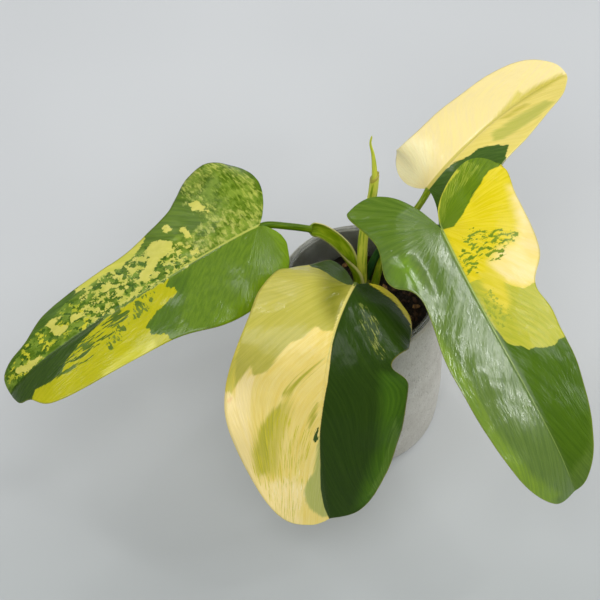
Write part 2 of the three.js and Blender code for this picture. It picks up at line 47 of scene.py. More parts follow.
# Blades: the midrib's curve, its roll, and how each half rises and falls. They are those of the packed
# solids, but the left blade has a blunter tip, the back blade a rounder left lobe and less wave, and the
# right blade a hug. The midribs, the outlines, and the routes of the stalks and the shoot further down
# were fitted to the photograph by a scratch program and rounded, and some points were changed by hand.
# Outlines are half widths and places along the midrib, in percent of the blade's length.
# rise and edge are slopes in degrees at the midrib and SIDE_WIDTH mm away from it, for the lobes, the
# middle and the tip. wave is the height in mm of the margin's waves. heel lifts the lobes. hug keeps a
# lobe's back edge close to the midrib's line at first.
SIDE_WIDTH = 45
WAVES_ALONG_BLADE = 3.5
LOBES_END = -0.1
MIDDLE = 0.4
LEAST_TURN = 1e-6
BLADE_START = 1.2
ROOT_POWER = 1.75
VEIN_BEND = 0.55
VEIN_BEND_ROWS = 2
HUG_ROWS = 0.8
HUG_WIDTH = 0.2
HUG_POWER = 1.5
LOBE_BEND = 0.04
BLADE_THICKNESS = 0.7

LEAVES = {
    "leaf_left": {
        "midrib": ((-55, 16, 155), (-74, 0, 165), (-215, -76, 122), (-193, -64, 95)),
        "roll": (-4, -2), "heel": 0, "wave": 1.8,
        "left": {
            "rise": (-18, -6, 2), "edge": (-38, -22, -8), "phase": 0.1,
            "outline": ((5, -3.6), (8.5, -4.4), (16, -0.5), (20.5, 9), (22, 27), (17.5, 43.5),
                        (16, 66), (12.8, 83.5), (7, 89.2), (4.8, 93.2), (0, 95)),
        },
        "right": {
            "rise": (8, 0, 8), "edge": (-18, -18, -8), "phase": 0.35,
            "outline": ((10.5, -8), (24, -12), (29.5, -4.5), (31, 10), (20, 24), (15.5, 45),
                        (13.5, 70), (8.8, 81), (7.4, 88), (5, 93.2), (0, 95)),
        },
    },
    "leaf_front": {
        "midrib": ((-4, -25, 154), (-19, -73, 181), (-31, -93, 119), (-17, -115, 54)),
        "roll": (-12, 12), "heel": 0, "wave": 1.8,
        "left": {
            "rise": (2, -2, 20), "edge": (-38, -30, -5), "phase": 0.3,
            "outline": ((4, -4.5), (9, -7.5), (18, -6.5), (24, -2.5), (27, 17), (22, 31), (29.5, 41),
                        (28, 67), (18.5, 90), (10.5, 99), (0, 100)),
        },
        "right": {
            "rise": (-2, 8, 14), "edge": (-36, -4, -8), "phase": 0.1,
            "outline": ((5.5, -7), (12, -12.5), (19, -7), (24.5, -4), (29.5, 13), (30, 29), (33.5, 50),
                        (29.5, 65.5), (18.2, 90), (8, 98.4), (0, 100)),
        },
    },
    "leaf_right": {
        "midrib": ((43, 3, 170), (69, -63, 158), (104, -111, 134), (116, -119, 90)),
        "roll": (-3, 12), "heel": 0.003, "wave": 1.8,
        "left": {
            "rise": (22, 7, 16), "edge": (-10, -22, -10), "phase": 0.2, "hug": 1.0,
            "outline": ((8.5, -12), (28, -13), (27.5, -1), (28.5, 18), (20, 30.5), (21, 42.5),
                        (17.5, 67.5), (11.5, 85.5), (5, 98), (0, 100)),
        },
        "right": {
            "rise": (22, 18, 6), "edge": (-22, -5, -10), "phase": 0.45,
            "outline": ((10.5, -11), (28, -13), (23.5, 1.5), (25, 13.5), (18, 23.5), (20.5, 45),
                        (19, 67), (15.5, 86), (8.5, 98), (0, 100)),
        },
    },
    "leaf_back": {
        "midrib": ((37, 39, 156), (56, 50, 184), (91, 110, 155), (125, 138, 145)),
        "roll": (-14, 0), "heel": 0, "wave": 0.5,
        "left": {
            "rise": (0, 12, 18), "edge": (2, -6, -2), "phase": 0,
            "outline": ((10, -5.5), (18.5, -7), (25, -4.5), (26.2, 1.6), (23.6, 9), (20.8, 28),
                        (18.5, 67), (15, 86.5), (7, 98), (0, 100)),
        },
        "right": {
            "rise": (-10, 3, 10), "edge": (-12, -6, -2), "phase": 0.4,
            "outline": ((12, -2.5), (20, -8.5), (27, -3), (23.5, 11), (19, 25.5), (17.5, 44.5),
                        (14, 66), (10, 84.5), (4, 96), (0, 100)),
        },
    },
}


def climb(value, low, high):
    """An S-shaped step from 0 at low to 1 at high."""
    held = np.clip((value - low) / (high - low), 0, 1)
    return held * held * (3 - 2 * held)


def blend_keys(keys, along):
    """Values at the lobes, the middle and the tip, blended along the blade."""
    first = climb(along, LOBES_END, MIDDLE)
    second = climb(along, MIDDLE, 1)
    return keys[0] * (1 - first) + keys[1] * (first - second) + keys[2] * second


def unit(vectors):
    """The same directions with a length of 1."""
    return vectors / np.linalg.norm(vectors, axis=-1, keepdims=True)


class Route:
    """A curve through space that is read by its length, from 0 to 1."""

    def __init__(self, points):
        self.points = np.array(points, float)
        steps = np.linalg.norm(np.diff(self.points, axis=0), axis=1)
        self.run = np.concatenate(([0], np.cumsum(steps)))
        self.length = self.run[-1]

    def at(self, part):
        """The points at these parts of the way."""
        run = np.asarray(part) * self.length
        return np.stack([np.interp(run, self.run, self.points[:, k]) for k in range(3)], -1)

    def along(self, part):
        """The direction of travel at these parts of the way."""
        step = 0.004
        ahead = self.at(np.minimum(np.asarray(part) + step, 1))
        behind = self.at(np.maximum(np.asarray(part) - step, 0))
        return unit(ahead - behind)


def cubic_route(controls):
    """A cubic curve with its two handles."""
    a, b, c, d = (np.array(p, float) for p in controls)
    t = np.linspace(0, 1, 601)[:, None]
    return Route((1 - t) ** 3 * a + 3 * (1 - t) ** 2 * t * b + 3 * (1 - t) * t ** 2 * c + t ** 3 * d)


def through_route(knots):
    """A smooth curve through every knot, with even tension (centripetal)."""
    knots = [np.array(p, float) for p in knots]
    ends = [2 * knots[0] - knots[1]] + knots + [2 * knots[-1] - knots[-2]]
    points = []
    for p0, p1, p2, p3 in zip(ends, ends[1:], ends[2:], ends[3:]):
        t0 = 0.0
        t1 = t0 + np.linalg.norm(p1 - p0) ** 0.5
        t2 = t1 + np.linalg.norm(p2 - p1) ** 0.5
        t3 = t2 + np.linalg.norm(p3 - p2) ** 0.5
        t = np.linspace(t1, t2, 40, endpoint=False)[:, None]
        a1 = (t1 - t) / (t1 - t0) * p0 + (t - t0) / (t1 - t0) * p1
        a2 = (t2 - t) / (t2 - t1) * p1 + (t - t1) / (t2 - t1) * p2
        a3 = (t3 - t) / (t3 - t2) * p2 + (t - t2) / (t3 - t2) * p3
        b1 = (t2 - t) / (t2 - t0) * a1 + (t - t0) / (t2 - t0) * a2
        b2 = (t3 - t) / (t3 - t1) * a2 + (t - t1) / (t3 - t1) * a3
        points.append((t2 - t) / (t2 - t1) * b1 + (t - t1) / (t2 - t1) * b2)
    return Route(np.vstack(points + [knots[-1][None]]))


def spline_at(keys, part):
    """A uniform spline through flat keys, read from 0 to 1 over all of them."""
    keys = np.array(keys, float)
    last = len(keys) - 1
    place = np.clip(part, 0, 1) * last
    start = np.minimum(np.floor(place).astype(int), last - 1)
    w = (place - start)[:, None]
    p0, p1 = keys[np.maximum(start - 1, 0)], keys[start]
    p2, p3 = keys[start + 1], keys[np.minimum(start + 2, last)]
    v0, v1 = (p2 - p0) / 2, (p3 - p1) / 2
    return (2 * p1 - 2 * p2 + v0 + v1) * w ** 3 + (3 * p2 - 3 * p1 - 2 * v0 - v1) * w ** 2 + v0 * w + p1


class Blade:
    """One leaf blade: its flat outline, and where each flat point lies in space."""

    def __init__(self, shape):
        self.shape = shape
        self.route = cubic_route(shape["midrib"])
        self.length = self.route.length
        self.spans = len(shape["left"]["outline"]) - 1

    def place(self, x, y):
        """Flat points, x across and y along in mm, on the bent and folded blade."""
        along = y / self.length
        part = np.minimum((along + np.sqrt(along ** 2 + LOBE_BEND ** 2)) / 2, 1)
        forward = self.route.along(part)
        plain_up = unit(np.array([0, 0, 1.0]) - forward * forward[:, 2:3])
        plain_side = np.cross(forward, plain_up)
        low, high = np.radians(self.shape["roll"])
        roll = (low + (high - low) * part)[:, None]
        up = plain_up * np.cos(roll) + plain_side * np.sin(roll)
        side = plain_side * np.cos(roll) - plain_up * np.sin(roll)
        beyond = (y - part * self.length)[:, None]
        behind = np.minimum(y, 0)[:, None]
        out = np.abs(x)
        lift = {}
        for name in ("left", "right"):
            half = self.shape[name]
            start = np.radians(blend_keys(half["rise"], along))
            turn = (np.radians(blend_keys(half["edge"], along)) - start) / SIDE_WIDTH
            turn = np.where(np.abs(turn) < LEAST_TURN, LEAST_TURN, turn)
            waves = np.sin(2 * np.pi * (WAVES_ALONG_BLADE * along + half["phase"]))
            across = (np.sin(start + turn * out) - np.sin(start)) / turn
            rise = (np.cos(start) - np.cos(start + turn * out)) / turn
            lift[name] = (across, rise + self.shape["wave"] * (out / SIDE_WIDTH) ** 2 * waves)
        right = x >= 0
        across = np.where(right, lift["right"][0], lift["left"][0])
        rise = np.where(right, lift["right"][1], lift["left"][1])
        point = self.route.at(part) + forward * beyond + up * (self.shape["heel"] * behind ** 2)
        return point + up * rise[:, None] + side * (np.sign(x) * across)[:, None]

    def normals(self, x, y):
        """The upward direction at each flat point."""
        step = 0.6
        across = self.place(x + step, y) - self.place(x - step, y)
        along = self.place(x, y + step) - self.place(x, y - step)
        return unit(np.cross(across, along))

    def margin(self, name, row):
        """Where a row of the mesh ends, on the margin of one half, in percent."""
        outline = self.shape[name]["outline"]
        return spline_at(outline, (1 + row) / self.spans)

    def root(self, row):
        """Where a row of the mesh leaves the midrib, in percent."""
        roots = []
        for name in ("left", "right"):
            back, tip = self.shape[name]["outline"][1][1], self.shape[name]["outline"][-1][1]
            part = np.clip((self.margin(name, row)[:, 1] - back) / (tip - back), 0, 1)
            roots.append(BLADE_START + (tip - BLADE_START) * part ** ROOT_POWER)
        return (roots[0] + roots[1]) / 2

    def flat(self, across, row):
        """Flat place in percent: across from -1 to 1, row from 0 at the sinus to spans - 1 at the tip."""
        out = np.abs(across)
        root = self.root(row)
        first = np.zeros(1)
        x, y = np.zeros_like(out), np.zeros_like(out)
        for name, sign in (("left", -1), ("right", 1)):
            margin = self.margin(name, row)
            sinus, back = (np.array(p, float) for p in self.shape[name]["outline"][:2])
            share = sinus[0] / back[0]
            drop = (sinus[1] - self.root(first)[0]) / (back[1] - self.root(first)[0])
            sinus_bend = (share - drop) / (share - share * share)
            bend = sinus_bend + (VEIN_BEND - sinus_bend) * climb(row, 0, VEIN_BEND_ROWS)
            mine = across * sign >= 0
            hug = self.shape[name].get("hug", 0) * (1 - climb(row, 0, HUG_ROWS))
            width = margin[:, 0] * out * (1 - hug * np.exp(-(out / HUG_WIDTH) ** HUG_POWER))
            x = np.where(mine, sign * width, x)
            y = np.where(mine, root + (margin[:, 1] - root) * (out * (1 - bend) + out * out * bend), y)
        return x, y


# Meshes

# Vertices nearer than this, in mm, become one: at a tube's seam, on a turned piece's axis, and at a
# blade's tip, where its last row comes to a point.
SEAM_GAP = 0.004
AXIS_GAP = 0.01
TIP_GAP = 0.002


def new_piece(name, mesh, slot, *replaced):
    """An object at the origin that rides on the pot. Its slot is not used."""
    piece = bpy.data.objects.new(name, mesh)
    bpy.context.scene.collection.objects.link(piece)
    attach(piece, BODY)
    if replaced:
        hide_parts(*replaced)


def mesh_from(bm, name):
    """The finished mesh, turned from millimetres into metres, with smooth faces."""
    bmesh.ops.scale(bm, vec=Vector((MM, MM, MM)), verts=bm.verts)
    for face in bm.faces:
        face.smooth = True
    mesh = bpy.data.meshes.new(name)
    bm.to_mesh(mesh)
    bm.free()
    return mesh


def set_field(mesh, name, values):
    """A number for each vertex, which the finishes read by name."""
    field = mesh.attributes.new(name, "FLOAT", "POINT")
    field.data.foreach_set("value", np.asarray(values, np.float32))


def grid_of(columns, rows):
    """A flat grid whose vertices run from -1 to 1 both ways, with the numpy array of their places."""
    bm = bmesh.new()
    bmesh.ops.create_grid(bm, x_segments=columns, y_segments=rows, size=1)
    return bm, np.array([v.co[:] for v in bm.verts])


def move_verts(bm, points):
    """Each vertex goes to its own point."""
    for vert, point in zip(bm.verts, points):
        vert.co = point


def closed_tube(bm, points, fields):
    """Bends a grid into a tube, joins its seam, caps its ends and stores fields on its vertices."""
    layers = {name: bm.verts.layers.float.new(name) for name in fields}
    for name, layer in layers.items():
        for vert, value in zip(bm.verts, fields[name]):
            vert[layer] = value
    move_verts(bm, points)
    bmesh.ops.remove_doubles(bm, verts=bm.verts, dist=SEAM_GAP)
    bmesh.ops.holes_fill(bm, edges=[e for e in bm.edges if e.is_boundary], sides=0)
    bmesh.ops.recalc_face_normals(bm, faces=bm.faces)


def swept(route, sides, steps, section, open_to, start=0.0, end=1.0):
    """A body swept along a route. The section gives (across, up, ahead) for the part of the way and
    round; open_to gives the direction of up. Fields: part, round."""
    bm, grid = grid_of(sides, steps)
    part = start + (end - start) * (grid[:, 1] + 1) / 2
    turn = (grid[:, 0] + 1) / 2
    forward = route.along(part)
    side = unit(np.cross(forward, open_to(part)))
    up = np.cross(side, forward)
    x, y, ahead = section(part, turn)
    points = route.at(part) + side * x[:, None] + up * y[:, None] + forward * ahead[:, None]
    closed_tube(bm, points, {"part": part, "round": turn})
    return bm


def round_section(radius):
    """A round section whose radius depends on the part of the way."""
    def section(part, turn):
        angle = 2 * np.pi * turn
        r = radius(part)
        return r * np.sin(angle), -r * np.cos(angle), np.zeros_like(r)
    return section


def turned(profile, steps, name):
    """A profile of (radius, height) turned about the vertical axis."""
    bm = bmesh.new()
    verts = [bm.verts.new((r, 0, z)) for r, z in profile]
    edges = [bm.edges.new(pair) for pair in zip(verts, verts[1:])]
    bmesh.ops.spin(bm, geom=verts + edges, cent=(0, 0, 0), axis=(0, 0, 1), angle=2 * math.pi,
                   steps=steps, use_merge=True, use_duplicate=False)
    bmesh.ops.remove_doubles(bm, verts=bm.verts, dist=AXIS_GAP)
    bmesh.ops.recalc_face_normals(bm, faces=bm.faces)
    return mesh_from(bm, name)


def arc(centre, radius, start, end, steps):
    """Points on an arc of a profile, with angles in degrees."""
    angles = np.radians(np.linspace(start, end, steps))
    return [(centre[0] + radius * math.cos(a), centre[1] + radius * math.sin(a)) for a in angles]


# Finishes

def paint(red, green, blue):
    """A screen colour from 0 to 255, by the sRGB curve, as the linear colour that a shader takes."""
    return tuple((c / 255 / 12.92 if c <= 10 else ((c / 255 + 0.055) / 1.055) ** 2.4)
                 for c in (red, green, blue)) + (1.0,)


class Finish:
    """A procedural material, built node by node."""

    def __init__(self, name, roughness=0.5, specular=0.5):
        self.material = bpy.data.materials.new(name)
        self.material.use_nodes = True
        self.tree = self.material.node_tree
        self.shader = self.tree.nodes["Principled BSDF"]
        self.shader.inputs["Roughness"].default_value = roughness
        self.shader.inputs["Specular IOR Level"].default_value = specular

    def node(self, kind, sockets, **settings):
        """A new node, whose sockets take links or constants."""
        node = self.tree.nodes.new(kind)
        for key, value in settings.items():
            setattr(node, key, value)
        for key, value in sockets.items():
            if isinstance(value, bpy.types.NodeSocket):
                self.tree.links.new(value, node.inputs[key])
            elif value is not None:
                node.inputs[key].default_value = value
        return node

    def field(self, name):
        """A number stored on the mesh by set_field or closed_tube."""
        return self.node("ShaderNodeAttribute", {}, attribute_name=name).outputs["Fac"]

    def place(self):
        """The place on the object, in metres."""
        return self.node("ShaderNodeTexCoord", {}).outputs["Object"]

    def math(self, operation, a, b=None, c=None):
        return self.node("ShaderNodeMath", {0: a, 1: b, 2: c}, operation=operation).outputs[0]

    def vector(self, x, y, z=0.0):
        return self.node("ShaderNodeCombineXYZ", {"X": x, "Y": y, "Z": z}).outputs[0]

    def stretched(self, vector, scale):
        return self.node("ShaderNodeMapping", {"Vector": vector, "Scale": scale}).outputs[0]

    def noise(self, vector, scale, detail=3.0, rough=0.55):
        sockets = {"Vector": vector, "Scale": scale, "Detail": detail, "Roughness": rough}
        return self.node("ShaderNodeTexNoise", sockets).outputs["Fac"]

    def between(self, value, low, high, start=0.0, end=1.0, kind="SMOOTHSTEP"):
        """A value that runs from low to high, turned into one from start to end."""
        sockets = {"Value": value, "From Min": low, "From Max": high, "To Min": start, "To Max": end}
        return self.node("ShaderNodeMapRange", sockets, interpolation_type=kind).outputs[0]

    def mix(self, factor, a, b, blend="MIX"):
        node = self.node("ShaderNodeMix", {}, data_type="RGBA", blend_type=blend)
        for key, value in ((0, factor), (6, a), (7, b)):
            if isinstance(value, bpy.types.NodeSocket):
                self.tree.links.new(value, node.inputs[key])
            else:
                node.inputs[key].default_value = value
        return node.outputs[2]

    def two_tone(self, value, low, high, first, second):
        """Two screen colours, blended where a value runs from low to high."""
        return self.mix(self.between(value, low, high), paint(*first), paint(*second))

    def stripes(self, lengthwise, round_it):
        """Noise drawn out along a swept piece, with so many cells along it and round it."""
        along = self.math("MULTIPLY", self.field("part"), lengthwise)
        around = self.math("MULTIPLY", self.field("round"), round_it)
        return self.noise(self.vector(along, around), 1.0, 3.0, 0.6)

    def colour(self, socket):
        self.tree.links.new(socket, self.shader.inputs["Base Color"])

    def roughness(self, socket):
        self.tree.links.new(socket, self.shader.inputs["Roughness"])

    def gloss(self, socket):
        self.tree.links.new(socket, self.shader.inputs["Specular IOR Level"])

    def bump(self, height, distance):
        """Fine relief, with the depth in millimetres that a height of 1 stands for."""
        sockets = {"Height": height, "Distance": distance * MM, "Strength": 1.0}
        node = self.node("ShaderNodeBump", sockets)
        self.tree.links.new(node.outputs[0], self.shader.inputs["Normal"])


# Markings of the blades. A patch has its outlines in percent, across and along the blade, and its main
# colour and streak colour. ragged is how far its edge strays and grain the size of that straying along
# and across the veins, in mm. soft is the width of its edge. hold is the depth, in mm, from which a
# patch grows no denser, so a low one breaks the patch up into flecks. A loose patch strays along and
# across the blade instead of its veins. A patch within another one shows only inside that one.
# rib is the midrib's line: its colour, and its half widths in mm at places along the blade, in percent;
# the line fades out where they fall below nothing. gloss is how waxy the left and right half are, and
# edge the colour of the thin margin.

def patch(name, colours, outlines, ragged, grain, soft, hold=99, loose=False, within=None):
    return {"name": name, "colours": colours, "outlines": outlines, "ragged": ragged, "grain": grain,
            "soft": soft, "hold": hold, "loose": loose, "within": within}


MARKS = {
    "leaf_left": {
        "ground": ((70, 98, 14), (98, 126, 26)), "gloss": (0.42, 0.16),
        "edge": (150, 158, 60),
        "rib": ((176, 184, 84), ((1, 0.7), (25, 0.5), (45, 0.1), (60, -0.5))),
        "patches": (
            patch("wash", ((126, 150, 50), (112, 140, 42)), (
                ((0.1, 0), (10, 4), (12, 10), (9, 20), (10, 30), (15, 38), (15, 60), (9, 80), (5, 95),
                 (0.1, 96)),
                ((3, 1), (12, 8), (20, 13), (31, 12), (31, -4), (24, -10), (8, -6))),
                8, (9, 7), 3.4, -0.2, loose=True),
            patch("base_streaks", ((186, 188, 100), (160, 172, 72)), (
                ((0.3, 1), (1.6, 26), (5, 24), (9, 18), (10, 8), (4, 0)),),
                9, (2.6, 5.0), 3.4, -0.5, loose=True),
            patch("lobe_flecks", ((186, 192, 92), (164, 176, 72)), (
                ((22, -9), (31, -5), (33, 10), (27, 14), (20, 15), (18, 12), (25, 8), (26, 0), (20, -5)),
                ((1, 0), (10, -6), (22, -10), (22, -4), (8, -1), (2, 2)),
                ((9, 12), (14, 14), (20, 16), (20.6, 13), (14, 10))), 9, (2.2, 6.0), 3.4, -0.8, loose=True),
            patch("lobe_specks", ((146, 164, 62), (132, 154, 50)), (
                ((2, 2), (12, -4), (24, -8), (31, -3), (32, 10), (24, 14), (14, 11), (8, 18), (3, 18)),),
                9, (1.5, 4.6), 3.4, -1.4, loose=True),
            patch("mosaic", ((204, 199, 98), (184, 187, 78)), (
                ((0.3, 24), (6, 24), (11, 30), (13, 37), (12.8, 46), (13.4, 56), (9.5, 60), (0.3, 62)),),
                9, (4.4, 4.4), 0.6, 0.05, loose=True),
            patch("tip_mosaic", ((204, 198, 52), (164, 174, 46)), (
                ((0.3, 60), (9, 60), (10.5, 72), (8, 82), (5, 94), (0.3, 95)),), 8, (6.2, 4.2), 0.6, -0.9,
                loose=True),
            patch("dark_flecks", ((60, 92, 18), (74, 106, 26)), (
                ((1, 27), (8, 27), (14, 36), (14.6, 44), (13, 60), (11, 78), (6, 92), (1, 90)),),
                8, (3.8, 3.4), 0.5, -0.9, loose=True),
            patch("blocks", ((208, 203, 98), (198, 195, 88)), (
                ((0.8, 41), (4, 37.6), (6.4, 34), (7, 29), (8.4, 27), (11.4, 28), (13.4, 31.5),
                 (12.6, 34.6), (8.6, 36), (5, 41.4)),
                ((3.2, 69.6), (5, 72), (9.8, 73), (10, 71), (8.8, 67.6), (7.6, 70), (4.4, 67.4)),
                ((7.3, 20.4), (7.6, 22.4), (12.6, 23), (12.4, 21.2)),
                ((13, 24.6), (13.6, 27), (16.4, 27.2), (16, 25)),
                ((1.4, 22), (2, 24.6), (3.6, 24), (3, 21.8)),
                ((12, 11.4), (16, 15.6), (20, 16), (18.6, 13)),
                ((13, 62), (14.6, 61), (14.4, 57), (13, 57)),
                ((4, 61), (5, 66), (7, 65), (6, 61)),
                ((1.2, 86), (1.2, 79), (2.4, 79), (2.8, 83), (4.4, 88), (3.4, 89))),
                3.8, (3.6, 3.2), 0.5, loose=True),
            patch("margin_strip", ((204, 200, 84), (190, 192, 70)), (
                ((12.6, 58), (13.0, 50), (12.2, 44), (13.2, 40), (14.6, 36), (16.4, 33), (20, 32), (19, 46),
                 (17, 59)),), 2.0, (9, 3.4), 0.6),
            patch("margin_green", ((66, 94, 26), (82, 112, 32)), (
                ((18, 59), (18, 70), (14, 80), (9, 86), (7, 97), (4.6, 96), (7, 84), (9, 77), (9.8, 71),
                 (11.6, 66), (12.4, 60)),), 2.6, (5, 2), 0.8),
            patch("lower_green", ((104, 134, 28), (88, 118, 22)), (
                ((-0.3, 1), (-1.0, 33), (-2.5, 36.5), (-4.2, 34), (-6.2, 34), (-7.2, 39), (-7.3, 42),
                 (-8.6, 44.5), (-10, 47.5), (-13.2, 47), (-15, 43.5), (-22, 43), (-36, 10), (-32, -14),
                 (-8, -12)),), 1.2, (3, 1.5), 0.5),
            # Painted shade: darker green on the lower half near the yellow border.
            patch("lower_painted_shade", ((74, 104, 20), (86, 118, 24)), (
                ((-1.6, 27), (-6, 30), (-12, 36.5), (-16, 41), (-15, 50), (-6, 50), (-1, 38)),),
                3, (14, 3), 5, within="lower_green"),
            patch("lower_bright", ((118, 150, 14), (106, 138, 20)), (
                ((-26, 32), (-18, 28), (-16, 17), (-14.5, 5), (-12, -0.6), (0, 0), (0, -8), (-30, -14),
                 (-36, 10)),), 3, (10, 3), 7, within="lower_green"),
            patch("lower_yellow", ((176, 175, 0), (186, 182, 14)), (
                ((-0.9, 33), (-0.5, 58), (-1.2, 60), (-2.2, 66), (-4.6, 73), (-7, 76.5), (-7, 81),
                 (-5.6, 86), (-7.4, 88.6), (-14, 90), (-22, 43.4), (-15, 43.5), (-13.2, 47), (-10, 47.5),
                 (-8.6, 44.5), (-7.3, 42), (-7.2, 39), (-6.2, 34), (-4.2, 34), (-2.5, 36.5)),),
                2.4, (6, 3), 0.6),
            patch("lower_pale", ((208, 204, 84), (194, 192, 50)), (
                ((-14.2, 48), (-13.6, 56), (-14.6, 66), (-19, 66), (-21, 48)),), 3, (14, 3), 4),
            patch("tip_green", ((44, 70, 10), (58, 84, 16)), (
                ((0.4, 56), (-1.0, 59), (-2.2, 66), (-4.6, 73), (-7, 77), (-7, 81), (-5.6, 86),
                 (-7.4, 88.6), (-8, 101), (0.6, 101)),), 1.2, (6, 1.2), 0.6),
            patch("lower_flecks", ((84, 110, 28), (118, 136, 36)), (
                ((-9.4, 60), (-7, 60), (-5, 54), (-6, 52.5), (-8.5, 56)),
                ((-6, 48), (-3, 48), (-1, 44), (-2, 40), (-5.5, 43))),
                8, (3.4, 7.5), 0.6, 0.0, loose=True),
            patch("border_streaks", ((66, 94, 16), (92, 116, 26)), (
                ((-8, 79), (-4.6, 72.5), (-2.4, 63), (-0.8, 50), (-3.4, 50), (-5.6, 60), (-8.4, 72)),),
                8, (13, 2.0), 0.8, 0.0, loose=True),
        ),
    },
    "leaf_front": {
        "ground": ((234, 208, 104), (242, 222, 138)), "gloss": (0.14, 0.3),
        "edge": (216, 200, 104),
        "rib": ((206, 196, 104), ((1, 0.9), (15, 0.7), (32, 0.3), (44, -0.1), (52, -0.6))),
        "patches": (
            patch("pale_margin", ((249, 227, 160), (246, 222, 146)), (
                ((24, 44), (24, 58), (23, 68), (21, 78), (10, 79), (6, 83), (11, 92), (10, 99),
                 (30, 98), (40, 60), (36, 47), (31, 50), (27, 43)),), 6, (24, 3), 5),
            patch("olive_blush", ((200, 188, 76), (212, 198, 94)), (
                ((10, 47), (16, 54), (21, 60), (23.4, 68), (22.6, 75), (16, 76), (14, 66), (11, 56)),),
                5, (30, 3), 6),
            patch("olive_streaks", ((176, 172, 56), (188, 180, 66)), (
                ((1.2, 33.5), (5, 39), (12.6, 49), (13.4, 47.4), (7.4, 39.6)),
                ((13, 51), (15.4, 58), (18, 66), (19, 75), (21.6, 76), (22.6, 68), (20.6, 60), (16, 53)),
                ((1.5, 50), (2, 56), (4, 60), (3.4, 55))), 4.4, (34, 2.2), 3.2, 1.2),
            patch("lime_comb", ((194, 186, 36), (208, 196, 64)), (
                ((4, 62), (6, 71), (8, 77), (11, 80), (13, 76), (15, 80), (18, 77), (20, 80), (22.6, 77),
                 (23, 68), (20, 60), (14, 54), (10, 58)),), 9, (13, 1.5), 2.2, -1.2),
            patch("lime_flecks", ((196, 186, 50), (210, 198, 80)), (
                ((8, 80), (9, 88), (12, 96), (17, 91), (19, 82)),), 8, (16, 1.5), 1.2, -1.2),
            # Partly its own pale cream flecks, partly painted shine: white streaks of highlight.
            patch("pale_flecks_and_painted_shine", ((252, 238, 190), (250, 234, 178)), (
                ((4, 79), (5, 84), (9, 90), (15, 87), (19, 81), (15, 78), (11, 80.6), (8, 76), (6, 80)),),
                8, (7, 1.6), 1.8, -1.6),
            patch("tip_strip", ((174, 178, 92), (186, 188, 108)), (
                ((0, 62), (0.8, 66), (1.8, 72), (2.8, 78), (5.4, 80.6), (7.4, 84), (7.6, 88), (6.4, 92.5),
                 (3, 97.5), (0, 99)),), 2.0, (9, 1.3), 1.8),
            patch("blush_spot", ((238, 190, 122), (240, 204, 138)), (
                ((30.6, 51.4), (31.2, 53.6), (32.2, 53), (31.8, 51.2)),), 1.0, (3, 3), 1.6),
            patch("olive_lobe", ((194, 186, 84), (182, 176, 72)), (
                ((0.6, 24), (4, 25), (6.5, 24), (10, 29), (13.5, 31), (17, 36.5), (19.5, 41),
                 (22, 42.6), (24.4, 43.4), (25, 39.5), (27, 43), (31, 50), (38, 47), (36, 0),
                 (24, -10), (12, -16), (0.2, -4)),), 1.2, (18, 1.5), 1.4),
            # Painted shade: darker olive on the lobe near the midrib.
            patch("lobe_painted_shade", ((118, 120, 24), (132, 132, 34)), (
                ((0, 21), (4, 20), (8, 15), (10.6, 9), (12.6, 1), (11, -8), (0, -8)),),
                2, (10, 4), 15, within="olive_lobe"),
            patch("dark_lobe", ((56, 76, 26), (66, 88, 36)), (
                ((0.4, 1.6), (2, 3.2), (5, 3.0), (8.8, 1.6), (11.6, -0.8), (14.6, -3.4), (17, -4.8),
                 (19, -8), (14, -16), (4, -12), (0, -4)),), 0.5, (6, 2), 0.6),
            patch("margin_lime", ((216, 200, 86), (198, 190, 80)), (
                ((30.6, 50), (34, 50), (33, 40), (32, 30), (30.6, 33), (30.6, 42)),), 3, (20, 2), 1.5),
            patch("dark_half", ((38, 62, 10), (46, 70, 14)), (
                ((0, 0.5), (-0.3, 28), (-1.1, 36), (-1.3, 42), (-0.4, 55), (0.1, 62), (0.3, 75),
                 (1.4, 86), (1.4, 94), (0.4, 101), (-40, 101), (-40, -16), (0, -10)),),
                0.3, (30, 1.6), 0.5),
            patch("light_margin", ((72, 108, 20), (58, 92, 16)), (
                ((-19, 36), (-21, 50), (-20, 70), (-15, 84), (-10, 97), (-30, 99), (-40, 50),
                 (-30, 34)),), 3, (30, 2.5), 10),
            # Painted sheen: a paler, greyer streak of reflection along the dark half's margin.
            patch("painted_sheen_streak", ((96, 128, 46), (76, 108, 30)), (
                ((-26, 56), (-24, 70), (-20, 82), (-15, 92), (-19, 90), (-24, 80), (-27.6, 66)),),
                4, (26, 1.6), 3, 0.6),
            patch("yellow_hem", ((228, 212, 62), (204, 190, 54)), (
                ((-2, -5.2), (-5, -4.4), (-9, -4.2), (-14, -3.6), (-19.5, -2.2), (-24, 0.6), (-27, 6),
                 (-34, 8), (-30, -10), (-9, -14), (-2, -8)),), 3.6, (6, 1.6), 0.8),
            patch("half_flecks", ((140, 146, 66), (96, 112, 40)), (
                ((-4.6, 11), (-7, 13), (-8, 18), (-11, 20), (-14, 18.6), (-12, 14), (-7, 10.6)),
                ((-12.4, 22), (-14, 25.6), (-18.6, 28.6), (-17, 25), (-14, 21.4))), 8, (8, 2.2), 1.4, -0.9),
            patch("speck", ((50, 74, 22), (60, 86, 28)), (
                ((0.4, 59), (1, 65.5), (2.2, 66), (2.3, 63.5), (1.6, 60.5)),), 1.8, (4, 1.6), 0.4),
        ),
    },
    "leaf_right": {
        "ground": ((78, 108, 24), (96, 124, 36)), "gloss": (0.24, 1.0),
        "edge": (178, 184, 70),
        "rib": ((150, 172, 84), ((1, 0.6), (30, 0.4), (60, 0.15), (92, 0.1), (98, -0.4))),
        "patches": (
            patch("dark_tip", ((66, 98, 6), (76, 108, 12)), (
                ((0, 40), (-19, 48), (-20, 66), (-10, 86), (0, 92), (0, 60)),), 4, (20, 3), 6),
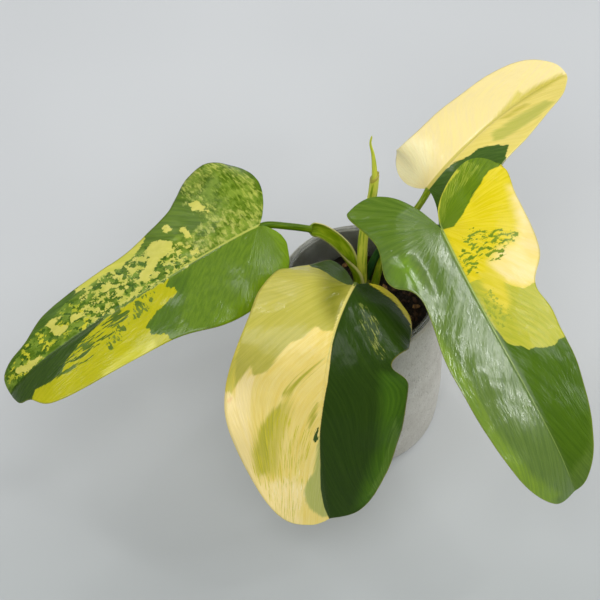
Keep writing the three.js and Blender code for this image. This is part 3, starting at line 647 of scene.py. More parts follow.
            patch("near_edge", ((122, 152, 20), (104, 136, 20)), (
                ((22, 20), (18.4, 27), (17.4, 45), (16, 66), (12, 84), (6, 96), (30, 98), (30, 20)),),
                3, (20, 3), 6),
            patch("yellow_sector", ((214, 197, 12), (226, 208, 50)), (
                ((0, 1.6), (-1.2, 1.8), (-6, -0.6), (-10, -2.6), (-13, -5.2), (-17, -8), (-20, -10.6),
                 (-23, -13), (-40, -16), (-40, 35), (-20, 31), (-15, 31), (0, 22)),), 1.2, (10, 1.5), 0.8),
            patch("cream_margin", ((243, 224, 156), (240, 218, 124)), (
                ((-31, 30), (-20, 31), (-15, 30.5), (-10, 25), (-9, 19), (-14, 15), (-19, 15),
                 (-24, 10), (-25, 2), (-26.5, -5), (-34, -4)),), 3, (20, 8), 9),
            patch("lime_sector", ((188, 186, 60), (172, 176, 50)), (
                ((0, 22), (-6, 22.5), (-9, 25), (-11.5, 28), (-15, 31), (-20, 30.4), (-30, 32),
                 (-30, 51), (-19.4, 51.4), (-17.5, 51.2), (-15.4, 52.4), (-11.6, 51.6), (-8.6, 50),
                 (-6.6, 49.9), (-5, 47.6), (-3, 46.4), (-1.6, 45), (-1, 42), (-0.3, 38)),),
                1.0, (9, 1.8), 0.6),
            patch("yellow_tint", ((212, 198, 48), (222, 206, 76)), (
                ((-4, 20), (-8, 21), (-11, 25), (-9, 33), (-6, 36), (-3, 28)),), 4, (12, 3), 5),
            patch("green_flecks", ((104, 132, 24), (126, 148, 34)), (
                ((-22, 12), (-16, 15), (-13, 18.5), (-9.6, 17), (-7, 14), (-5, 8), (-9, 6.4), (-14, 9),
                 (-20, 10.4)),
                ((-6.6, 15), (-4, 19), (-1, 19), (-0.6, 13), (-3, 11))),
                7, (2.0, 4.4), 0.9, -0.25, loose=True),
            patch("faint_flecks", ((146, 160, 50), (166, 174, 62)), (
                ((-6.4, 38), (-3, 39), (-1, 36), (-2, 29), (-5, 27)),),
                7, (2.4, 2.2), 1.2, -0.3, loose=True),
            patch("sinus_green", ((106, 134, 24), (90, 118, 22)), (
                ((-0.6, 1.8), (-3.6, 2.4), (-5.6, 1.2), (-8, -0.2), (-9.6, -2), (-12, -4),
                 (-14, -6.8), (-18, -8.6), (-19.6, -10.6), (-22.6, -12.4), (-27, -13.4),
                 (-30, -20), (0, -20)),), 0.8, (5, 1.2), 0.5),
            patch("sinus_lime", ((152, 166, 54), (120, 144, 40)), (
                ((-0.2, -0.8), (-2.5, -3), (-5, -6.4), (-9, -9.0), (-14, -11), (-20, -14.5), (-12, -20),
                 (0, -20)),), 7, (9, 1.2), 1.4, 0.1),
            patch("sinus_hem", ((206, 200, 66), (180, 184, 60)), (
                ((0, 0.4), (-1.2, -4), (-4, -8.6), (-8, -12.2), (-13, -15), (-8, -20), (0, -20)),),
                1.2, (9, 1.2), 0.8),
            patch("bright_lobe", ((112, 150, 6), (100, 138, 12)), (
                ((16, 8), (21, 8), (24, 13), (21, 18), (17, 19), (15, 14)),), 2, (8, 4), 8),
        ),
    },
    "leaf_back": {
        "ground": ((246, 227, 152), (241, 222, 160)), "gloss": (0.3, 0.3),
        "edge": (246, 230, 166),
        "rib": ((206, 192, 96), ((1, 1.3), (30, 0.9), (60, 0.5), (90, 0.0), (98, -0.4))),
        "patches": (
            patch("yellow_half", ((226, 208, 104), (234, 216, 118)), (
                ((0.6, 0), (0.6, 60), (0.4, 100), (20, 104), (30, 40), (30, -12), (0, -4)),),
                1.0, (20, 2), 3),
            patch("pale_lobe", ((255, 244, 190), (253, 238, 180)), (
                ((-6, -8), (-6, 10), (-14, 18), (-36, 16), (-36, -12)),), 3, (20, 4), 12),
            patch("olive_line", ((196, 184, 70), (206, 192, 84)), (
                ((-1.2, 54), (-1.6, 80), (-1, 98), (1, 98), (2, 80), (1, 60), (0.4, 42)),
                ((1.6, 48), (3, 66), (5, 67), (4, 52))), 2.4, (20, 1.2), 3.4),
            patch("olive_fleck", ((212, 198, 90), (220, 206, 104)), (
                ((-4, 71), (-2.6, 64), (-1, 56), (-0.5, 66), (-2, 71)),), 1.6, (12, 1.5), 3),
            patch("grey_patch", ((184, 184, 80), (194, 190, 90)), (
                ((4.4, 38), (8, 34.6), (10, 38), (12.6, 52), (12.4, 60), (11.4, 76), (8, 74),
                 (6.4, 58), (5.4, 46)),), 3.0, (22, 2), 3.6),
            patch("base_green", ((60, 90, 24), (74, 104, 32)), (
                ((0, 0.8), (0.2, 9), (1.6, 16), (4.8, 22), (5.4, 27), (7.6, 30.6), (9.6, 32),
                 (10.6, 34), (12.6, 33.8), (14, 36), (15.4, 34), (17, 30), (19, 27.6), (22, 26),
                 (36, 4), (26, -14), (8, -6)),), 1.4, (5, 1.6), 0.5),
        ),
    },
}


def distance_to(outline, x, y):
    """How far inside a closed outline each point lies; outside it is negative."""
    corners = np.array(outline, float)
    nearest = np.full(len(x), np.inf)
    inside = np.zeros(len(x), bool)
    for (ax, ay), (bx, by) in zip(corners, np.roll(corners, -1, axis=0)):
        dx, dy = bx - ax, by - ay
        t = np.clip(((x - ax) * dx + (y - ay) * dy) / (dx * dx + dy * dy), 0, 1)
        nearest = np.minimum(nearest, np.hypot(x - ax - t * dx, y - ay - t * dy))
        crosses = (ay > y) != (by > y)
        reach = ax + (y - ay) * dx / np.where(dy == 0, 1e-9, dy)
        inside ^= crosses & (x < reach)
    return np.where(inside, nearest, -nearest)


# Side veins leave the midrib one after another; those of the lobes fan out from FAN_PLACE. The slopes
# are way along over way across, and they grow between the two places. All are in percent of the blade.
VEIN_SLOPES = (1.2, 3.4)
VEIN_SLOPES_PLACES = (40, 90)
FAN_PLACE = 1
FAN_VEIN = 20
FAN_SPREAD = 44


def vein_fields(x, y):
    """Which side vein each point lies on, and how far out along it, both in percent."""
    out = np.abs(x)
    slope = VEIN_SLOPES[0] + (VEIN_SLOPES[1] - VEIN_SLOPES[0]) * climb(y, *VEIN_SLOPES_PLACES)
    root = y - out * slope
    behind = y - FAN_PLACE
    fan = np.arctan2(behind, out + 1e-6)
    on_midrib = root >= FAN_PLACE
    vein = FAN_VEIN + np.where(on_midrib, root - FAN_PLACE, -FAN_SPREAD * (np.arctan(slope) - fan))
    run = np.hypot(out, np.where(on_midrib, y - root, behind))
    return vein, run


# Relief of the blades, in mm, with places in percent. Columns crowd towards the midrib.
LEAF_COLUMNS = 72
LEAF_ROWS_PER_SPAN = 22
COLUMN_POWER = 1.2
MIDRIB_GROOVE = 0.5
GROOVE_WIDTH = 1.1
VEIN_SPACING = 6.5
VEIN_STAGGER = 3.1
VEIN_DEPTHS = {"leaf_left": 0.1, "leaf_front": 0.12, "leaf_right": 0.14, "leaf_back": 0.03}
DENT_DEPTHS = {"leaf_left": 0.9, "leaf_front": 0.9, "leaf_right": 0.9, "leaf_back": 0.35}
DENT_SIZE = 17
SMALL_DENTS = 0.22
SMALL_DENT_SIZE = 6

# Bulges and hollows of each blade: across and along in percent, their half sizes, height in mm.
BULGES = {
    "leaf_left": ((-12, 10, 6, 8, 1.4), (22, 2, 6, 7, 1.5), (-12, 30, 5, 9, -0.8)),
    "leaf_front": ((14, 8, 8, 9, 1.5), (-14, 22, 6, 7, -1.2), (16, 45, 7, 14, 1.2)),
    "leaf_right": ((18.5, 13, 3.6, 6.5, 4.4), (11.5, 15, 2.6, 9, -1.6), (23, 17, 2, 5, -0.8),
                   (14, -6, 9, 3, 1.6), (-16, 14, 7, 8, 1.4), (-12, -6, 3, 6, -1.5),
                   (11, 52, 5, 12, 1.2), (5, 40, 3, 9, -0.8)),
    "leaf_back": ((-14, 34, 7, 14, 0.7), (10, 40, 4, 14, -0.7)),
}


def leaf_relief(name, blade, x, y, across, points):
    """Height of the upper surface over the plain blade, in mm: grooves, side veins, bulges and dents."""
    vein, _ = vein_fields(x, y)
    side = np.where(x < 0, VEIN_STAGGER, 0.0)
    lines = (0.5 + 0.5 * np.cos(2 * np.pi * (vein + side) / VEIN_SPACING)) ** 3
    inside = 1 - np.abs(across) ** 6
    out = np.abs(x)
    groove = MIDRIB_GROOVE * np.exp(-(x * blade.length / 100 / GROOVE_WIDTH) ** 2) * climb(y, 100, 88)
    height = -groove - VEIN_DEPTHS[name] * lines * climb(out, 0, 4) * inside
    for bulge_x, bulge_y, half_x, half_y, rise in BULGES[name]:
        height += rise * np.exp(-((x - bulge_x) / half_x) ** 2 - ((y - bulge_y) / half_y) ** 2)
    dents = np.array([noise.noise(Vector(p / DENT_SIZE))
                      + SMALL_DENTS * noise.noise(Vector(p / SMALL_DENT_SIZE)) for p in points])
    return height + DENT_DEPTHS[name] * dents * climb(out, 0, 6) * climb(y, 98, 88)


def leaf_mesh(name):
    """The blade as a thin bent sheet with its fields."""
    blade = Blade(LEAVES[name])
    bm, grid = grid_of(LEAF_COLUMNS, LEAF_ROWS_PER_SPAN * (blade.spans - 1))
    across = np.sign(grid[:, 0]) * np.abs(grid[:, 0]) ** COLUMN_POWER
    row = (grid[:, 1] + 1) / 2 * (blade.spans - 1)
    x, y = blade.flat(across, row)
    layers = [bm.verts.layers.float.new(key) for key in ("flat_x", "flat_y", "across")]
    for vert, values in zip(bm.verts, zip(x, y, across)):
        for layer, value in zip(layers, values):
            vert[layer] = value
        vert.co = (values[0], values[1], 0)
    bmesh.ops.remove_doubles(bm, verts=bm.verts, dist=TIP_GAP)
    flat = np.array([[v[layer] for layer in layers] for v in bm.verts])
    x, y, across = flat[:, 0], flat[:, 1], flat[:, 2]
    in_mm = blade.length / 100
    points = blade.place(x * in_mm, y * in_mm)
    normals = blade.normals(x * in_mm, y * in_mm)
    move_verts(bm, points + normals * leaf_relief(name, blade, x, y, across, points)[:, None])
    bmesh.ops.recalc_face_normals(bm, faces=bm.faces)
    if sum(face.normal.z for face in bm.faces) < 0:
        bmesh.ops.reverse_faces(bm, faces=bm.faces)
    mesh = mesh_from(bm, name)
    vein, run = vein_fields(x, y)
    set_field(mesh, "vein", vein * in_mm)
    set_field(mesh, "run", run * in_mm)
    to_margin = 1 / np.maximum(np.abs(across), 0.02) - 1
    set_field(mesh, "from_margin", np.abs(x) * in_mm * to_margin)
    for mark in MARKS[name]["patches"]:
        depth = np.max([distance_to(outline, x, y) for outline in mark["outlines"]], axis=0)
        set_field(mesh, mark["name"], depth * in_mm)
    places, half_widths = zip(*MARKS[name]["rib"][1])
    set_field(mesh, "rib", np.interp(y, places, half_widths) - np.abs(x) * in_mm)
    set_field(mesh, "flat_x_mm", x * in_mm)
    set_field(mesh, "flat_y_mm", y * in_mm)
    return mesh, blade


def thickened(mesh, thickness):
    """The sheet with a wall below it; the underside takes the second finish."""
    sheet = bpy.data.objects.new("sheet", mesh)
    bpy.context.scene.collection.objects.link(sheet)
    wall = sheet.modifiers.new("wall", "SOLIDIFY")
    wall.thickness = thickness * MM
    wall.offset = -1
    wall.material_offset = 1
    wall.material_offset_rim = 0
    graph = bpy.context.evaluated_depsgraph_get()
    solid = bpy.data.meshes.new_from_object(sheet.evaluated_get(graph))
    bpy.data.objects.remove(sheet)
    return solid


# Finish of the blades. Fades and depths are in mm, and shares run from 0 to 1. The skin's relief adds up
# fine veins and puckers. A blade is less glossy on its lobes than further along.
FINE_VEINS = 5.2
FINE_VEIN_SHADES = (0.972, 1.016)
FINE_VEIN_HEIGHT = 0.06
PUCKER_HEIGHT = 1.8
SKIN_RELIEF_DEPTH = 0.12
RIB_FADE = (-0.3, 0.4)
EDGE_FADE = (0.1, 0.7)
EDGE_SHARE = 0.3
UNDERSIDE_COLOUR = (160, 172, 110)
UNDERSIDE_SHARE = 0.3
UPPER_ROUGHNESS = (0.15, 0.26)
UNDER_ROUGHNESS = (0.5, 0.6)
HALVES_MEET = (-2.0, 2.0)
LOBE_GLOSS = 0.25
LOBE_GLOSS_FADE = (-8.0, 26.0)
LEAF_SOFTNESS = 0.15
LEAF_SOFT_DEPTH = 1.2


def leaf_finish(name, marks, under):
    """Streaked and blotched colours that follow the veins, under a waxy gloss."""
    finish = Finish(name + ("_under" if under else "_upper"), roughness=0.5)
    vein, run = finish.field("vein"), finish.field("run")
    flat_x, flat_y = finish.field("flat_x_mm"), finish.field("flat_y_mm")

    def grain(along, across, seed, detail=4.0, rough=0.6, loose=False):
        """Noise stretched along the veins, or along the blade where it is loose."""
        first, second = (flat_y, flat_x) if loose else (run, vein)
        first, second = finish.math("DIVIDE", first, along), finish.math("DIVIDE", second, across)
        return finish.noise(finish.vector(first, second, seed), 1.0, detail, rough)

    colour = finish.two_tone(grain(34, 4.5, 3.0), 0.3, 0.7, *marks["ground"])
    masks = {}
    for number, mark in enumerate(marks["patches"]):
        along, across = mark["grain"]
        loose, soft = mark["loose"], mark["soft"]
        stray = finish.math("SUBTRACT", grain(along, across, 11.0 + 7 * number, loose=loose), 0.5)
        depth = finish.math("MINIMUM", finish.field(mark["name"]), mark["hold"])
        depth = finish.math("MULTIPLY_ADD", stray, 2.0 * mark["ragged"], depth)
        mask = finish.between(depth, -soft / 2, soft / 2)
        if mark["within"]:
            mask = finish.math("MULTIPLY", mask, masks[mark["within"]])
        masks[mark["name"]] = mask
        inner = grain(along * 2, across * 1.6, 5.0 + 3 * number, loose=loose)
        colour = finish.mix(mask, colour, finish.two_tone(inner, 0.34, 0.66, *mark["colours"]))
    rib = finish.between(finish.field("rib"), *RIB_FADE)
    colour = finish.mix(rib, colour, paint(*marks["rib"][0]))
    waver = finish.math("MULTIPLY", grain(9, 3, 41.0), 5.0)
    fine = finish.math("SINE", finish.math("MULTIPLY_ADD", vein, FINE_VEINS, waver))
    lines = finish.between(fine, -1, 1, *FINE_VEIN_SHADES, "LINEAR")
    colour = finish.mix(1.0, colour, finish.vector(lines, lines, lines), "MULTIPLY")
    edge = finish.between(finish.field("from_margin"), *EDGE_FADE, EDGE_SHARE, 0.0)
    colour = finish.mix(edge, colour, paint(*marks["edge"]))
    if under:
        colour = finish.mix(UNDERSIDE_SHARE, colour, paint(*UNDERSIDE_COLOUR))
    finish.colour(colour)
    broken = grain(5, 2.0, 77.0, 5.0, 0.65)
    finish.roughness(finish.between(broken, 0.3, 0.7, *(UNDER_ROUGHNESS if under else UPPER_ROUGHNESS)))
    by_half = finish.between(flat_x, *HALVES_MEET, *marks["gloss"])
    by_place = finish.between(flat_y, *LOBE_GLOSS_FADE, LOBE_GLOSS, 1.0)
    finish.gloss(finish.math("MULTIPLY", by_half, by_place))
    pucker = finish.math("MULTIPLY", grain(4.6, 3.0, 55.0, 1.8, 0.42), PUCKER_HEIGHT)
    finish.bump(finish.math("MULTIPLY_ADD", fine, FINE_VEIN_HEIGHT, pucker), SKIN_RELIEF_DEPTH)
    finish.shader.inputs["Subsurface Weight"].default_value = LEAF_SOFTNESS
    finish.shader.inputs["Subsurface Radius"].default_value = (1.0, 1.0, 0.25)
    finish.shader.inputs["Subsurface Scale"].default_value = LEAF_SOFT_DEPTH * MM
    return finish.material


# The midrib's ridge below the blade: half widths and depths in mm, from the stalk to its end.
RIDGE_LENGTH = 0.9
RIDGE_HALF_WIDTHS = (1.8, 0.5)
RIDGE_DEPTHS = (1.7, 0.35)
RIDGE_BELOW_GROOVE = 0.3


def midrib_ridge(blade):
    """The raised midrib below the blade, running on from the stalk and thinning to the tip."""
    def section(part, turn):
        angle = 2 * np.pi * turn
        thin = (1 - part / RIDGE_LENGTH) ** 0.8
        half_width, depth = (end + (start - end) * thin for start, end in (RIDGE_HALF_WIDTHS, RIDGE_DEPTHS))
        down = depth * (np.cos(angle) - 1) - MIDRIB_GROOVE - RIDGE_BELOW_GROOVE
        return half_width * np.sin(angle), down, np.zeros_like(part)

    def up(part):
        zero = np.zeros_like(part)
        return blade.normals(zero + 1e-4, part * blade.length)

    bm = swept(blade.route, 14, 110, section, up, BLADE_START / 100, RIDGE_LENGTH)
    return mesh_from(bm, "ridge")


def make_leaf(name):
    """A blade and its ridge as one piece, with an upper and a lower finish."""
    sheet, blade = leaf_mesh(name)
    solid = thickened(sheet, BLADE_THICKNESS)
    bm = bmesh.new()
    bm.from_mesh(solid)
    ridge = midrib_ridge(blade)
    first = len(bm.faces)
    bm.from_mesh(ridge)
    bm.faces.ensure_lookup_table()
    for face in bm.faces[first:]:
        face.material_index = 1
    whole = bpy.data.meshes.new(name)
    for under in (False, True):
        whole.materials.append(leaf_finish(name, MARKS[name], under))
    bm.to_mesh(whole)
    bm.free()
    new_piece(name + "_blade", whole, name, name)


# Stalks and the new shoot. Routes and radii are in mm, and ends are parts of the way. Each stalk runs on
# to STALK_BELOW mm under its midrib, at STALK_REACH of the midrib's length. The left stalk's sheath is a
# channel, and its spread is half of the angle that its wall goes round, in degrees.

STALKS = {
    "petiole_front": {
        "leaf": "leaf_front",
        "route": ((1.1, 9.7, 99), (-1.1, -0.7, 116), (-2.9, -12.3, 134), (-3.9, -22.8, 149)),
        "colours": ((92, 122, 10), (136, 152, 30)),
    },
    "petiole_right": {
        "leaf": "leaf_right",
        "route": ((4, 15.4, 101), (6.6, 16.5, 115), (11.5, 18.9, 127), (22, 11.3, 146), (32.5, 6.9, 159),
                  (41.5, 3.5, 167)),
        # Partly its own dark teal green, partly painted shade for the shadow under the right blade's lobe.
        "colours": ((22, 60, 28), (44, 84, 34)),
    },
    "petiole_back": {
        "leaf": "leaf_back",
        "route": ((5.8, 10.6, 99.6), (8.4, 11.2, 102.5), (10.2, 13.8, 110), (12.3, 17.1, 118),
                  (20, 23.7, 132), (27.1, 28.1, 142), (32.7, 32.7, 149), (36.2, 37.2, 151.8)),
        "colours": ((104, 134, 18), (166, 174, 44)),
    },
}
STALK_RADIUS = 2.0
STALK_REACH = 0.025
STALK_BELOW = 2.5
STALK_CLOUD = (60, 90, 10)

SHEATHED = {
    "leaf": "leaf_left",
    "route": ((1.5, 12, 106.8), (0.2, 14.4, 113), (-4.6, 18.4, 121), (-12.5, 22.4, 130),
              (-21.7, 23.8, 138), (-29.1, 21.6, 143), (-39.8, 19, 148.5), (-53.5, 16.6, 152.8)),
    "sheath_end": 0.56, "blend": 0.05, "base_radius": 4.7, "mouth_radius": 4.1, "wall": 1.1,
    "spread": 102, "open_at_base": (1, 0.15, 0), "open_at_end": (0.2, -0.55, 0.8),
}

SHOOT = {
    "route": ((1.5, 11.7, 107), (1.3, 15.5, 122), (1.6, 19.1, 136), (3, 22.5, 150), (6, 25.4, 167),
              (6.9, 27.9, 184), (5.8, 30.7, 197), (4.2, 32.5, 205), (4.9, 33.2, 210)),
    "sheath_to": 0.73, "spear_from": 0.6, "sheath_radius": 3.0, "mouth_radius": 2.6, "beak": 2.6,
    "spear_radius": 1.55, "tip_radius": 0.55,
}
TOWARDS_VIEWER = (0.3, -1.0, 0.2)

STEM = {"x": 1.6, "y": 11.8, "top": 106.5, "bottom": 86, "radius": 5, "node_radius": 5.6}


def facing_viewer(part):
    """The same open side all the way, so that the seam lies behind."""
    return np.tile(TOWARDS_VIEWER, (len(part), 1))


def stalk_route(stalk):
    """The stalk's own curve, led on to just below the start of its blade's midrib."""
    midrib = cubic_route(LEAVES[stalk["leaf"]]["midrib"])
    end = midrib.at(STALK_REACH) - np.array([0, 0, STALK_BELOW])
    return through_route(stalk["route"] + (tuple(end),))


def stalk_finish(name, colours):
    """A green stalk with pale lines along it."""
    finish = Finish(name, roughness=0.38, specular=0.15)
    streak = finish.stripes(9.0, 26.0)
    colour = finish.two_tone(streak, 0.42, 0.66, *colours)
    cloud = finish.noise(finish.place(), 160.0, 3.0)
    colour = finish.mix(finish.between(cloud, 0.35, 0.75, 0.0, 0.35), colour, paint(*STALK_CLOUD))
    finish.colour(colour)
    finish.roughness(finish.between(cloud, 0.3, 0.7, 0.3, 0.46))
    finish.bump(streak, 0.08)
    return finish.material


def make_stalk(name):
    """One plain round stalk."""
    stalk = STALKS[name]
    route = stalk_route(stalk)

    def radius(part):
        """Thicker at the foot, and again a little where the blade begins."""
        lean = STALK_RADIUS * (1.25 - 0.3 * climb(part, 0, 0.5))
        return lean * (1 + 0.12 * climb(part, 0.9, 1))

    mesh = mesh_from(swept(route, 28, 90, round_section(radius), facing_viewer), name)
    mesh.materials.append(stalk_finish(name, stalk["colours"]))
    new_piece(name + "_stalk", mesh, "petiole", name)


def make_sheathed_stalk():
    """The youngest stalk, whose lower part is a broad channel open towards the shoot."""
    p = SHEATHED
    route = stalk_route(p)

    def section(part, turn):
        solid = climb(part, p["sheath_end"], p["sheath_end"] + p["blend"])
        widening = climb(part, 0, p["sheath_end"])
        sheath = p["base_radius"] + (p["mouth_radius"] - p["base_radius"]) * widening
        radius = sheath + (STALK_RADIUS - sheath) * solid
        spread = np.radians(p["spread"] + (90 - p["spread"]) * solid)
        lower = turn < 0.5
        share = np.where(lower, turn * 2, turn * 2 - 1)
        under = spread * (2 * share - 1)
        back = spread + (2 * np.pi - 2 * spread) * share
        inner = radius - p["wall"] * (0.45 + 0.55 * np.sin(np.pi * share))
        x = np.where(lower, radius * np.sin(under),
                     solid * radius * np.sin(back) - (1 - solid) * inner * np.sin(under))
        y = np.where(lower, -radius * np.cos(under),
                     -solid * radius * np.cos(back) - (1 - solid) * inner * np.cos(under))
        return x, y, np.zeros_like(x)

    def open_to(part):
        share = climb(part, 0, 0.4)[:, None]
        return np.array(p["open_at_base"], float) * (1 - share) + np.array(p["open_at_end"]) * share

    bm = swept(route, 56, 130, section, open_to)
    mesh = mesh_from(bm, "petiole_left")
    finish = Finish("petiole_left", roughness=0.38, specular=0.15)
    turn, part = finish.field("round"), finish.field("part")
    streak = finish.stripes(9.0, 22.0)
    # Partly its own paler green, partly painted light: the sheath is brighter to lift the shade on it.
    sheath = finish.two_tone(streak, 0.4, 0.64, (112, 140, 4), (148, 168, 30))
    bare = finish.two_tone(streak, 0.4, 0.64, (64, 94, 0), (92, 120, 6))
    colour = finish.mix(finish.between(part, 0.45, 0.7), sheath, bare)
    to_lip = finish.math("ABSOLUTE", finish.math("SUBTRACT", turn, 0.5))
    lip = finish.math("MINIMUM", to_lip, finish.math("SUBTRACT", 0.5, to_lip))
    hem = finish.math("MULTIPLY", finish.between(lip, 0.015, 0.07, 1.0, 0.0),
                      finish.between(part, p["sheath_end"] - 0.02, p["sheath_end"] + 0.04, 1.0, 0.0))
    colour = finish.mix(hem, colour, paint(214, 210, 132))
    finish.colour(colour)
    finish.bump(streak, 0.08)
    mesh.materials.append(finish.material)
    new_piece("petiole_left_stalk", mesh, "petiole", "petiole_left")


def shoot_finish(name, brown_from=None):
    """Yellow and green stripes along the shoot, browned at the mouth of the sheath."""
    finish = Finish(name, roughness=0.36, specular=0.3)
    streak = finish.stripes(5.0, 9.0)
    colour = finish.two_tone(streak, 0.36, 0.52, (132, 164, 18), (208, 214, 72))
    if brown_from:
        brown = finish.between(finish.field("part"), brown_from - 0.01, brown_from, 0.0, 0.6)
        colour = finish.mix(brown, colour, paint(140, 112, 54))
    finish.colour(colour)
    finish.bump(streak, 0.06)
    return finish.material


def make_shoot():
    """The rolled newest leaf, and the rolled sheath round its foot with a beak at the mouth."""
    p = SHOOT
    route = through_route(p["route"])

    def spear_radius(part):
        taper = climb(part, p["sheath_to"], 1)
        point = 1 - 0.6 * climb(part, 0.985, 1)
        return (p["spear_radius"] + (p["tip_radius"] - p["spear_radius"]) * taper) * point

    rolled = swept(route, 24, 90, round_section(spear_radius), facing_viewer, p["spear_from"])
    spear = mesh_from(rolled, "new_leaf_spear")
    spear.materials.append(shoot_finish("new_leaf_spear"))
    new_piece("new_leaf", spear, "shoot", "new_leaf_spear")

    def sheath_section(part, turn):
        up = part / p["sheath_to"]
        angle = 2 * np.pi * turn
        radius = p["sheath_radius"] + (p["mouth_radius"] - p["sheath_radius"]) * up
        beak = p["beak"] * climb(up, 0.9, 1)
        return radius * np.sin(angle), -radius * np.cos(angle), beak * np.sin(angle)

    wrapped = swept(route, 32, 80, sheath_section, facing_viewer, 0.0, p["sheath_to"])
    sheath = mesh_from(wrapped, "shoot_sheath")
    sheath.materials.append(shoot_finish("shoot_sheath", 0.722))
    new_piece("sheath_of_new_leaf", sheath, "shoot", "shoot_sheath")


def make_stem():
    """The short main stem with its rings of leaf scars, and the papery remains of an old sheath."""
    s = STEM
    profile = [(0, s["bottom"]), (s["radius"], s["bottom"]), (s["radius"], 96), (s["node_radius"], 98),
               (s["radius"], 99.5), (s["radius"], 102.6), (s["node_radius"] - 0.2, 104.2),
               (s["radius"] - 0.2, 105.4), (s["radius"] - 1.2, s["top"]), (0, s["top"])]
    mesh = turned(profile, 48, "main_stem")
    mesh.transform(Matrix.Translation((s["x"] * MM, s["y"] * MM, 0)))
    finish = Finish("main_stem", roughness=0.5)
    cloud = finish.noise(finish.stretched(finish.place(), (300.0, 300.0, 900.0)), 1.0, 4.0)
    finish.colour(finish.two_tone(cloud, 0.35, 0.65, (120, 134, 40), (88, 84, 34)))
    finish.bump(cloud, 0.3)
    mesh.materials.append(finish.material)
    new_piece("stem", mesh, "main_stem", "main_stem")

    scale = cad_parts["dry_scale"]
    finish = Finish("dry_scale", roughness=0.85)
    fibres = finish.noise(finish.stretched(finish.place(), (2200.0, 2200.0, 240.0)), 1.0, 4.0)
    finish.colour(finish.two_tone(fibres, 0.35, 0.65, (128, 96, 52), (78, 54, 30)))
    finish.bump(fibres, 0.25)
    scale.data.materials.clear()
    scale.data.materials.append(finish.material)


# Pots

RIM_HEIGHT = 115.3
FLANGE_TOP = 117.2


def cement_finish():
    """Cast cement: pale grey with fine darker specks, soft stains and tiny pores."""
    finish = Finish("cast_cement", roughness=0.88, specular=0.3)
    place = finish.place()
    cloud = finish.noise(place, 55.0, 4.0, 0.6)
    specks = finish.noise(finish.stretched(place, (900.0, 900.0, 620.0)), 1.0, 3.0, 0.7)
    pores = finish.noise(place, 420.0, 2.0)
    colour = finish.two_tone(cloud, 0.3, 0.7, (206, 204, 196), (190, 187, 178))
    colour = finish.mix(finish.between(specks, 0.52, 0.72, 0.0, 0.55), colour, paint(150, 145, 134))
    colour = finish.mix(finish.between(specks, 0.42, 0.3, 0.0, 0.4), colour, paint(226, 225, 220))
    finish.colour(colour)
    height = finish.math("ADD", specks, finish.between(pores, 0.62, 0.72, 0.0, -1.5))
    finish.bump(height, 0.18)
    return finish.material


def make_cover_pot():
    """The cement pot, a little wider at the belly, with a rounded rim and a closed foot."""
    profile = [(0, 0), (44, 0)]
    profile += arc((44, 5), 5, -84, -6, 9)
    profile += [(49.4, 8), (49.9, 14), (50.3, 22), (50.5, 32), (50.3, 46), (49.6, 62), (48.6, 78),
                (47.6, 92), (47, 104)]
    profile += arc((45.6, RIM_HEIGHT - 1), 1, 0, 90, 5)
    profile += arc((44.2, RIM_HEIGHT - 1), 1, 90, 180, 5)
    profile += [(43.2, 104), (45.7, 64), (46.3, 32), (43, 6), (0, 6)]
    mesh = turned(profile, 128, "cover_pot")
    mesh.materials.append(cement_finish())
    new_piece("cement_cover_pot", mesh, "cover_pot", "cover_pot")


def make_nursery_pot():
    """The clear thin pot; its flange rests on the cover pot's rim."""
    top, foot, wall, floor = 42.4, 34.0, 0.7, 21
    under = FLANGE_TOP - 1.4
    profile = [(0, floor), (foot, floor), (top - 0.1, under - 1.2), (top + 0.4, under), (44.2, under)]
    profile += arc((44.3, under + 0.7), 0.7, -80, 80, 6)
    profile += [(43.2, FLANGE_TOP - 0.35), (top + 0.3, FLANGE_TOP - 0.3)]
    profile += arc((top - 0.1, FLANGE_TOP - 0.45), 0.45, 90, 180, 4)
    profile += [(top - wall, under - 2), (foot - wall, floor + 0.8), (0, floor + 0.8)]
    mesh = turned(profile, 128, "nursery_pot")
    finish = Finish("clear_plastic", roughness=0.12)
    finish.shader.inputs["Transmission Weight"].default_value = 0.92
    finish.shader.inputs["IOR"].default_value = 1.45
    haze = finish.noise(finish.place(), 90.0, 3.0)
    finish.colour(finish.two_tone(haze, 0.3, 0.7, (236, 238, 236), (214, 217, 213)))
    finish.roughness(finish.between(haze, 0.3, 0.7, 0.08, 0.2))
    mesh.materials.append(finish.material)
    new_piece("clear_nursery_pot", mesh, "nursery_pot", "nursery_pot")


# Potting mix

MIX_LEVEL = 94
MIX_MOUND = 3
MIX_MOUND_REACH = 42.4
MIX_LUMP = 0.78
MIX_BOTTOM = 22.5
MIX_TOP_RADIUS = 38.8
MIX_FOOT_RADIUS = 32.9
MIX_ROUGHNESS = 1.1
MIX_TOP_ROWS = 0.86
MIX_SIDE_ROWS = 0.98


def mix_surface(x, y):
    """Height of the mix: a mound round the stem, with broad lumps."""
    far = np.hypot(x - STEM["x"], y - STEM["y"]) / MIX_MOUND_REACH
    lumps = (np.sin(0.31 * x + 0.8) * np.cos(0.27 * y) + 0.6 * np.sin(0.7 * x + 0.9 * y + 1)
             + 0.4 * np.sin(1.3 * x - 0.8 * y + 2))
    return MIX_LEVEL + MIX_MOUND * (1 - far * far) + MIX_LUMP * lumps


